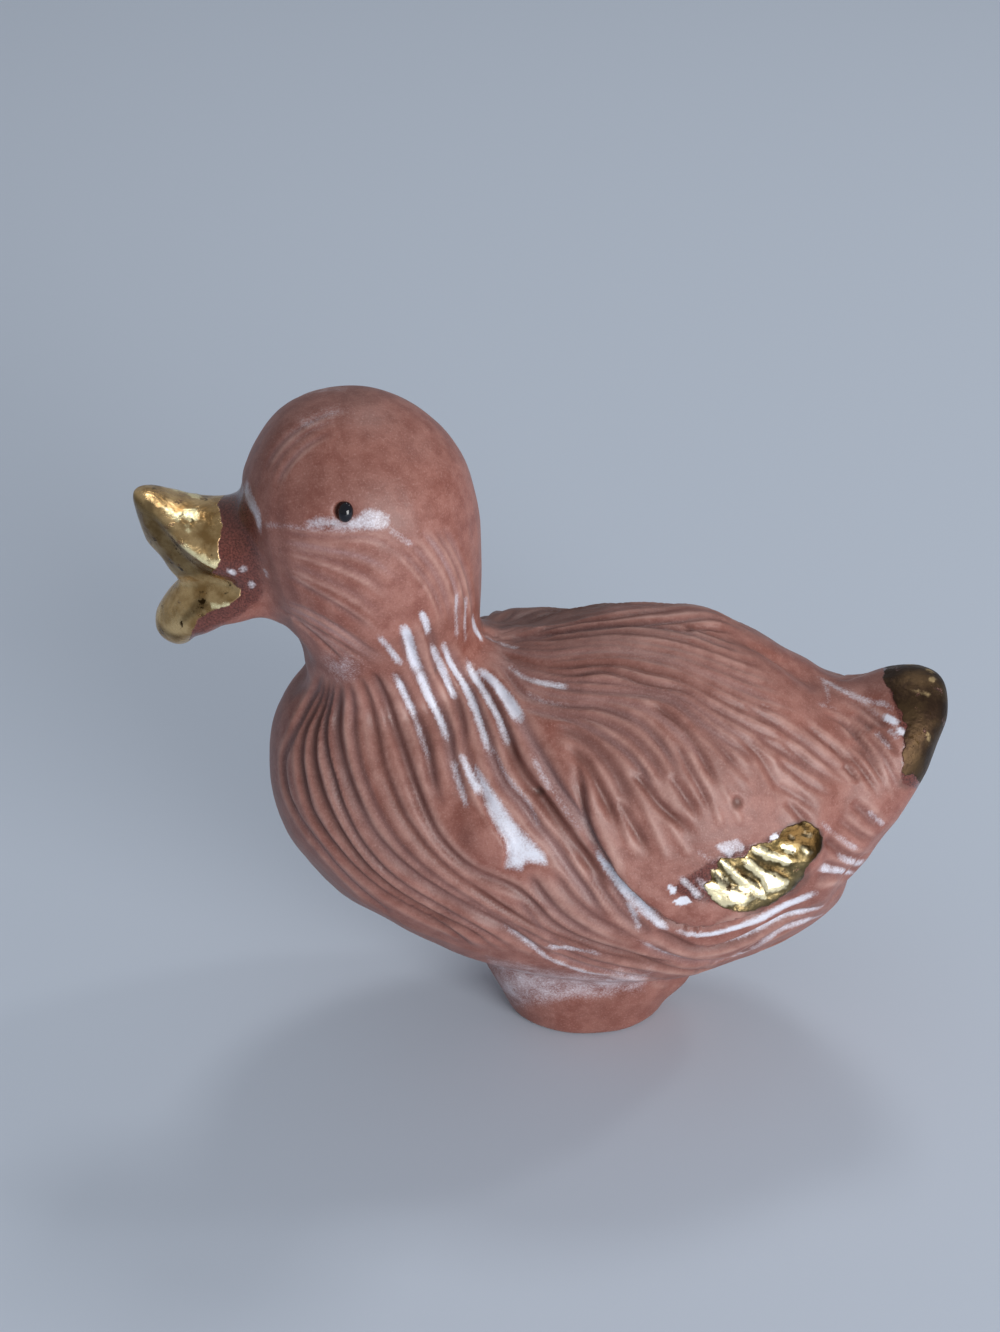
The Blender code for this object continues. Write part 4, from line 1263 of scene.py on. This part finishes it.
def fired_clay(name, **golds):
    """Terracotta under a thin satin glaze, gilded where the gold lustre was painted on.

    The eye sees a mottled pinkish brown with dust and painted sheen on the crests, furrows darkened
    partly as painted shade, milky furrows, wet-looking red-brown glaze round the gold, and worn
    metal on it, with painted highlights, painted glints and painted shade. Each noise has the size
    of what it stands for, from clouds in the clay to dust on it.
    """
    made = bpy.data.materials.new(name)
    made.use_nodes = True
    tree = made.node_tree
    shader = tree.nodes["Principled BSDF"]
    values = dict(golds)
    for layer in LAYERS:
        values[layer] = add_node(tree, "ShaderNodeAttribute", "Fac", {"attribute_name": layer}, {})
    place = add_node(tree, "ShaderNodeTexCoord", "Object", {}, {})
    for key, size, detail, roughness in NOISES:
        values[key] = add_node(tree, "ShaderNodeTexNoise", "Fac", {}, {
            "Vector": place, "Scale": 1.0 / (size * MM), "Detail": detail,
            "Roughness": roughness})
    for key, (kind, output, settings, slots), *terms in CLAY_RECIPE:
        filled = {slot: value_of(values.get(term, term)) for slot, term in zip(slots, terms)}
        values[key] = add_node(tree, kind, output, settings, filled)
    for key in ("Base Color", "Metallic", "Roughness", "Normal"):
        tree.links.new(values[key], shader.inputs[key])
    return made


def black_enamel():
    """Black eye enamel: blue-black, poured and fired to a wet gloss."""
    made = bpy.data.materials.new("black_eye_enamel")
    made.use_nodes = True
    tree = made.node_tree
    shader = tree.nodes["Principled BSDF"]
    place = add_node(tree, "ShaderNodeTexCoord", "Object", {}, {})
    swirl = add_node(tree, "ShaderNodeTexNoise", "Fac", {}, {
        "Vector": place, "Scale": 1.0 / (0.4 * MM), "Detail": 3.0})
    colour = add_node(tree, "ShaderNodeMix", "Result", {"data_type": "RGBA"}, {
        "Factor": swirl, "A": to_linear("#030308"), "B": to_linear("#0a0a16")})
    rough = add_node(tree, "ShaderNodeMapRange", "Result", {}, {
        "Value": swirl, "To Min": 0.03, "To Max": 0.09})
    shader.inputs["IOR"].default_value = 1.52
    tree.links.new(colour, shader.inputs["Base Color"])
    tree.links.new(rough, shader.inputs["Roughness"])
    return made


class DuckClay(bpy.types.PropertyGroup):
    """Sizes of the clay skin and of its combing."""

    voxel: bpy.props.FloatProperty(
        name="Skin grain", description="Size of the skin's faces", default=0.00022,
        min=0.0001, precision=5, subtype="DISTANCE", unit="LENGTH")
    slip: bpy.props.FloatProperty(
        name="Slip", description="How far the slip fills the seams between the members",
        default=0.0002, min=0.0, precision=5, subtype="DISTANCE", unit="LENGTH")
    smoothing: bpy.props.IntProperty(
        name="Smoothing", description="How often the wet skin is wiped smooth", default=14,
        min=0)
    sponging: bpy.props.IntProperty(
        name="Sponging", description="How often the filled seams are sponged", default=160,
        min=0)
    furrow: bpy.props.FloatProperty(
        name="Furrow depth", description="Depth of the comb's furrows, as a share", default=1.0,
        min=0.0)
    unevenness: bpy.props.FloatProperty(
        name="Unevenness", description="How far the hand-worked clay rises and falls",
        default=0.00005, min=0.0, precision=6, subtype="DISTANCE", unit="LENGTH")


class DuckStage(bpy.types.PropertyGroup):
    """Sizes and colours of the stage."""

    floor_colour: bpy.props.FloatVectorProperty(
        name="Floor", description="Colour of the floor", subtype="COLOR", size=4,
        default=to_linear("#d0dae8"), min=0.0, max=1.0)
    key_power: bpy.props.FloatProperty(
        name="Window light", description="Power of the lamp at the duck's tail side, in watts",
        default=2.45, min=0.0, subtype="POWER", unit="POWER")
    fill_power: bpy.props.FloatProperty(
        name="Fill light", description="Power of the lamp above and behind the duck, in watts",
        default=0.35, min=0.0, subtype="POWER", unit="POWER")
    glint_power: bpy.props.FloatProperty(
        name="Glint", description="Power of the small lamp behind the duck, in watts",
        default=0.15, min=0.0, subtype="POWER", unit="POWER")
    sky: bpy.props.FloatProperty(
        name="Room light", description="Strength of the light from all round", default=0.38,
        min=0.0)


class DUCK_OT_clay(bpy.types.Operator):
    """Joins the clay members under one skin, combs and glazes it, and cuts it into members"""

    bl_idname = "duck.clay"
    bl_label = "Clay members"

    def execute(self, context):
        settings = context.scene.duck_clay
        skin = clay_skin(settings)
        sponge_seams(skin, settings)
        push_places(skin)
        comb_skin(skin, settings)
        pieces = cut_members(skin)
        # One gold lustre: the bill's is a lighter, the tail's a darker copy, as painted reflection
        clay = fired_clay("satin_glazed_terracotta", bright_gold="#fbecc0", mid_gold="#94825c",
                          deep_gold="#584a2e", gold_roughness=0.22)
        bill = fired_clay("gold_lustre_on_terracotta", bright_gold="#fff0bc", mid_gold="#e4c28c",
                          deep_gold="#a68252", gold_roughness=0.20)
        tail = fired_clay("shaded_gold_lustre_on_terracotta", bright_gold="#a89068",
                          mid_gold="#5a4733", deep_gold="#3e2f25", gold_roughness=0.42)
        for name, piece in pieces.items():
            made = {"upper_bill": bill, "lower_bill": bill, "tail": tail}.get(name, clay)
            piece.data.materials.append(made)
            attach(piece, "root")
            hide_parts(name)
        return {"FINISHED"}


class DUCK_OT_eyes(bpy.types.Operator):
    """Sets a bead of black enamel in each eye socket"""

    bl_idname = "duck.eyes"
    bl_label = "Eyes"

    def execute(self, context):
        enamel = black_enamel()
        for name in ("left_eye", "right_eye"):
            bead = merged_copy(name, name + "_bead")
            apply_modifier(bead, "SUBSURF", levels=2, render_levels=2)
            low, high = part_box(name)
            middle = (low + high) / 2.0
            for vertex in bead.data.vertices:
                away = (vertex.co - middle) * Vector(EYE_SWELL)
                vertex.co = middle + away + Vector((EYE_BACK * MM, 0.0, 0.0))
            bead.data.shade_smooth()
            bead.data.materials.clear()
            bead.data.materials.append(enamel)
            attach(bead, "root")
            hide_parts(name)
        return {"FINISHED"}


class DUCK_OT_stage(bpy.types.Operator):
    """Sets up the floor, the lamps and the camera"""

    bl_idname = "duck.stage"
    bl_label = "Stage"

    def execute(self, context):
        scene = context.scene
        settings = scene.duck_stage
        deselect()
        bpy.ops.mesh.primitive_plane_add(size=4.0, location=(0.0, 0.0, 0.0))
        floor = context.view_layer.objects.active
        floor.name = "floor"
        material = bpy.data.materials.new("matt_paper")
        material.use_nodes = True
        shader = material.node_tree.nodes["Principled BSDF"]
        shader.inputs["Base Color"].default_value = settings.floor_colour
        shader.inputs["Roughness"].default_value = 0.9
        floor.data.materials.append(material)

        scene.world = scene.world or bpy.data.worlds.new("studio")
        scene.world.use_nodes = True
        sky = scene.world.node_tree.nodes["Background"]
        sky.inputs["Color"].default_value = to_linear("#e6ebf2")
        sky.inputs["Strength"].default_value = settings.sky
        for name, place, size, power in (
            ("window_lamp", (0.285, -0.425, 0.12), 0.28, settings.key_power),
            ("fill_lamp", (0.08, 0.25, 0.47), 0.10, settings.fill_power),
            ("glint_lamp", (0.34, 0.14, 0.34), 0.045, settings.glint_power),
        ):
            lamp = bpy.data.lights.new(name, "AREA")
            lamp.size = size
            lamp.energy = power
            made = bpy.data.objects.new(name, lamp)
            made.location = place
            made.rotation_euler = (Vector((0.0, 0.0, 0.02)) - made.location).to_track_quat(
                "-Z", "Y").to_euler()
            scene.collection.objects.link(made)

        camera = bpy.data.objects.new("camera", bpy.data.cameras.new("camera"))
        camera.data.sensor_width = SENSOR
        camera.data.lens = FOCAL_PIXELS * SENSOR / FRAME_HEIGHT
        camera.data.clip_start = 0.005
        camera.location = CAMERA_PLACE
        camera.rotation_euler = (math.radians(90.0) - CAMERA_DOWN, 0.0, 0.0)
        scene.collection.objects.link(camera)
        scene.camera = camera
        scene.view_settings.view_transform = "Standard"
        return {"FINISHED"}


class DUCK_PT_panel(bpy.types.Panel):
    """Lists the steps and their sizes in the sidebar"""

    bl_idname = "DUCK_PT_panel"
    bl_label = "Duck figurine"
    bl_space_type = "VIEW_3D"
    bl_region_type = "UI"
    bl_category = "Duck"

    def draw(self, context):
        for step in STEPS:
            self.layout.operator(step.bl_idname)
        for group in (context.scene.duck_clay, context.scene.duck_stage):
            for key in group.__annotations__:
                self.layout.prop(group, key)


STEPS = (DUCK_OT_clay, DUCK_OT_eyes, DUCK_OT_stage)
CLASSES = (DuckClay, DuckStage, *STEPS, DUCK_PT_panel)


def register():
    for made in CLASSES:
        bpy.utils.register_class(made)
    bpy.types.Scene.duck_clay = bpy.props.PointerProperty(type=DuckClay)
    bpy.types.Scene.duck_stage = bpy.props.PointerProperty(type=DuckStage)


def unregister():
    del bpy.types.Scene.duck_clay
    del bpy.types.Scene.duck_stage
    for made in reversed(CLASSES):
        bpy.utils.unregister_class(made)


def main():
    register()
    bpy.ops.duck.clay()
    bpy.ops.duck.eyes()
    bpy.ops.duck.stage()


if __name__ == "__main__":
    main()
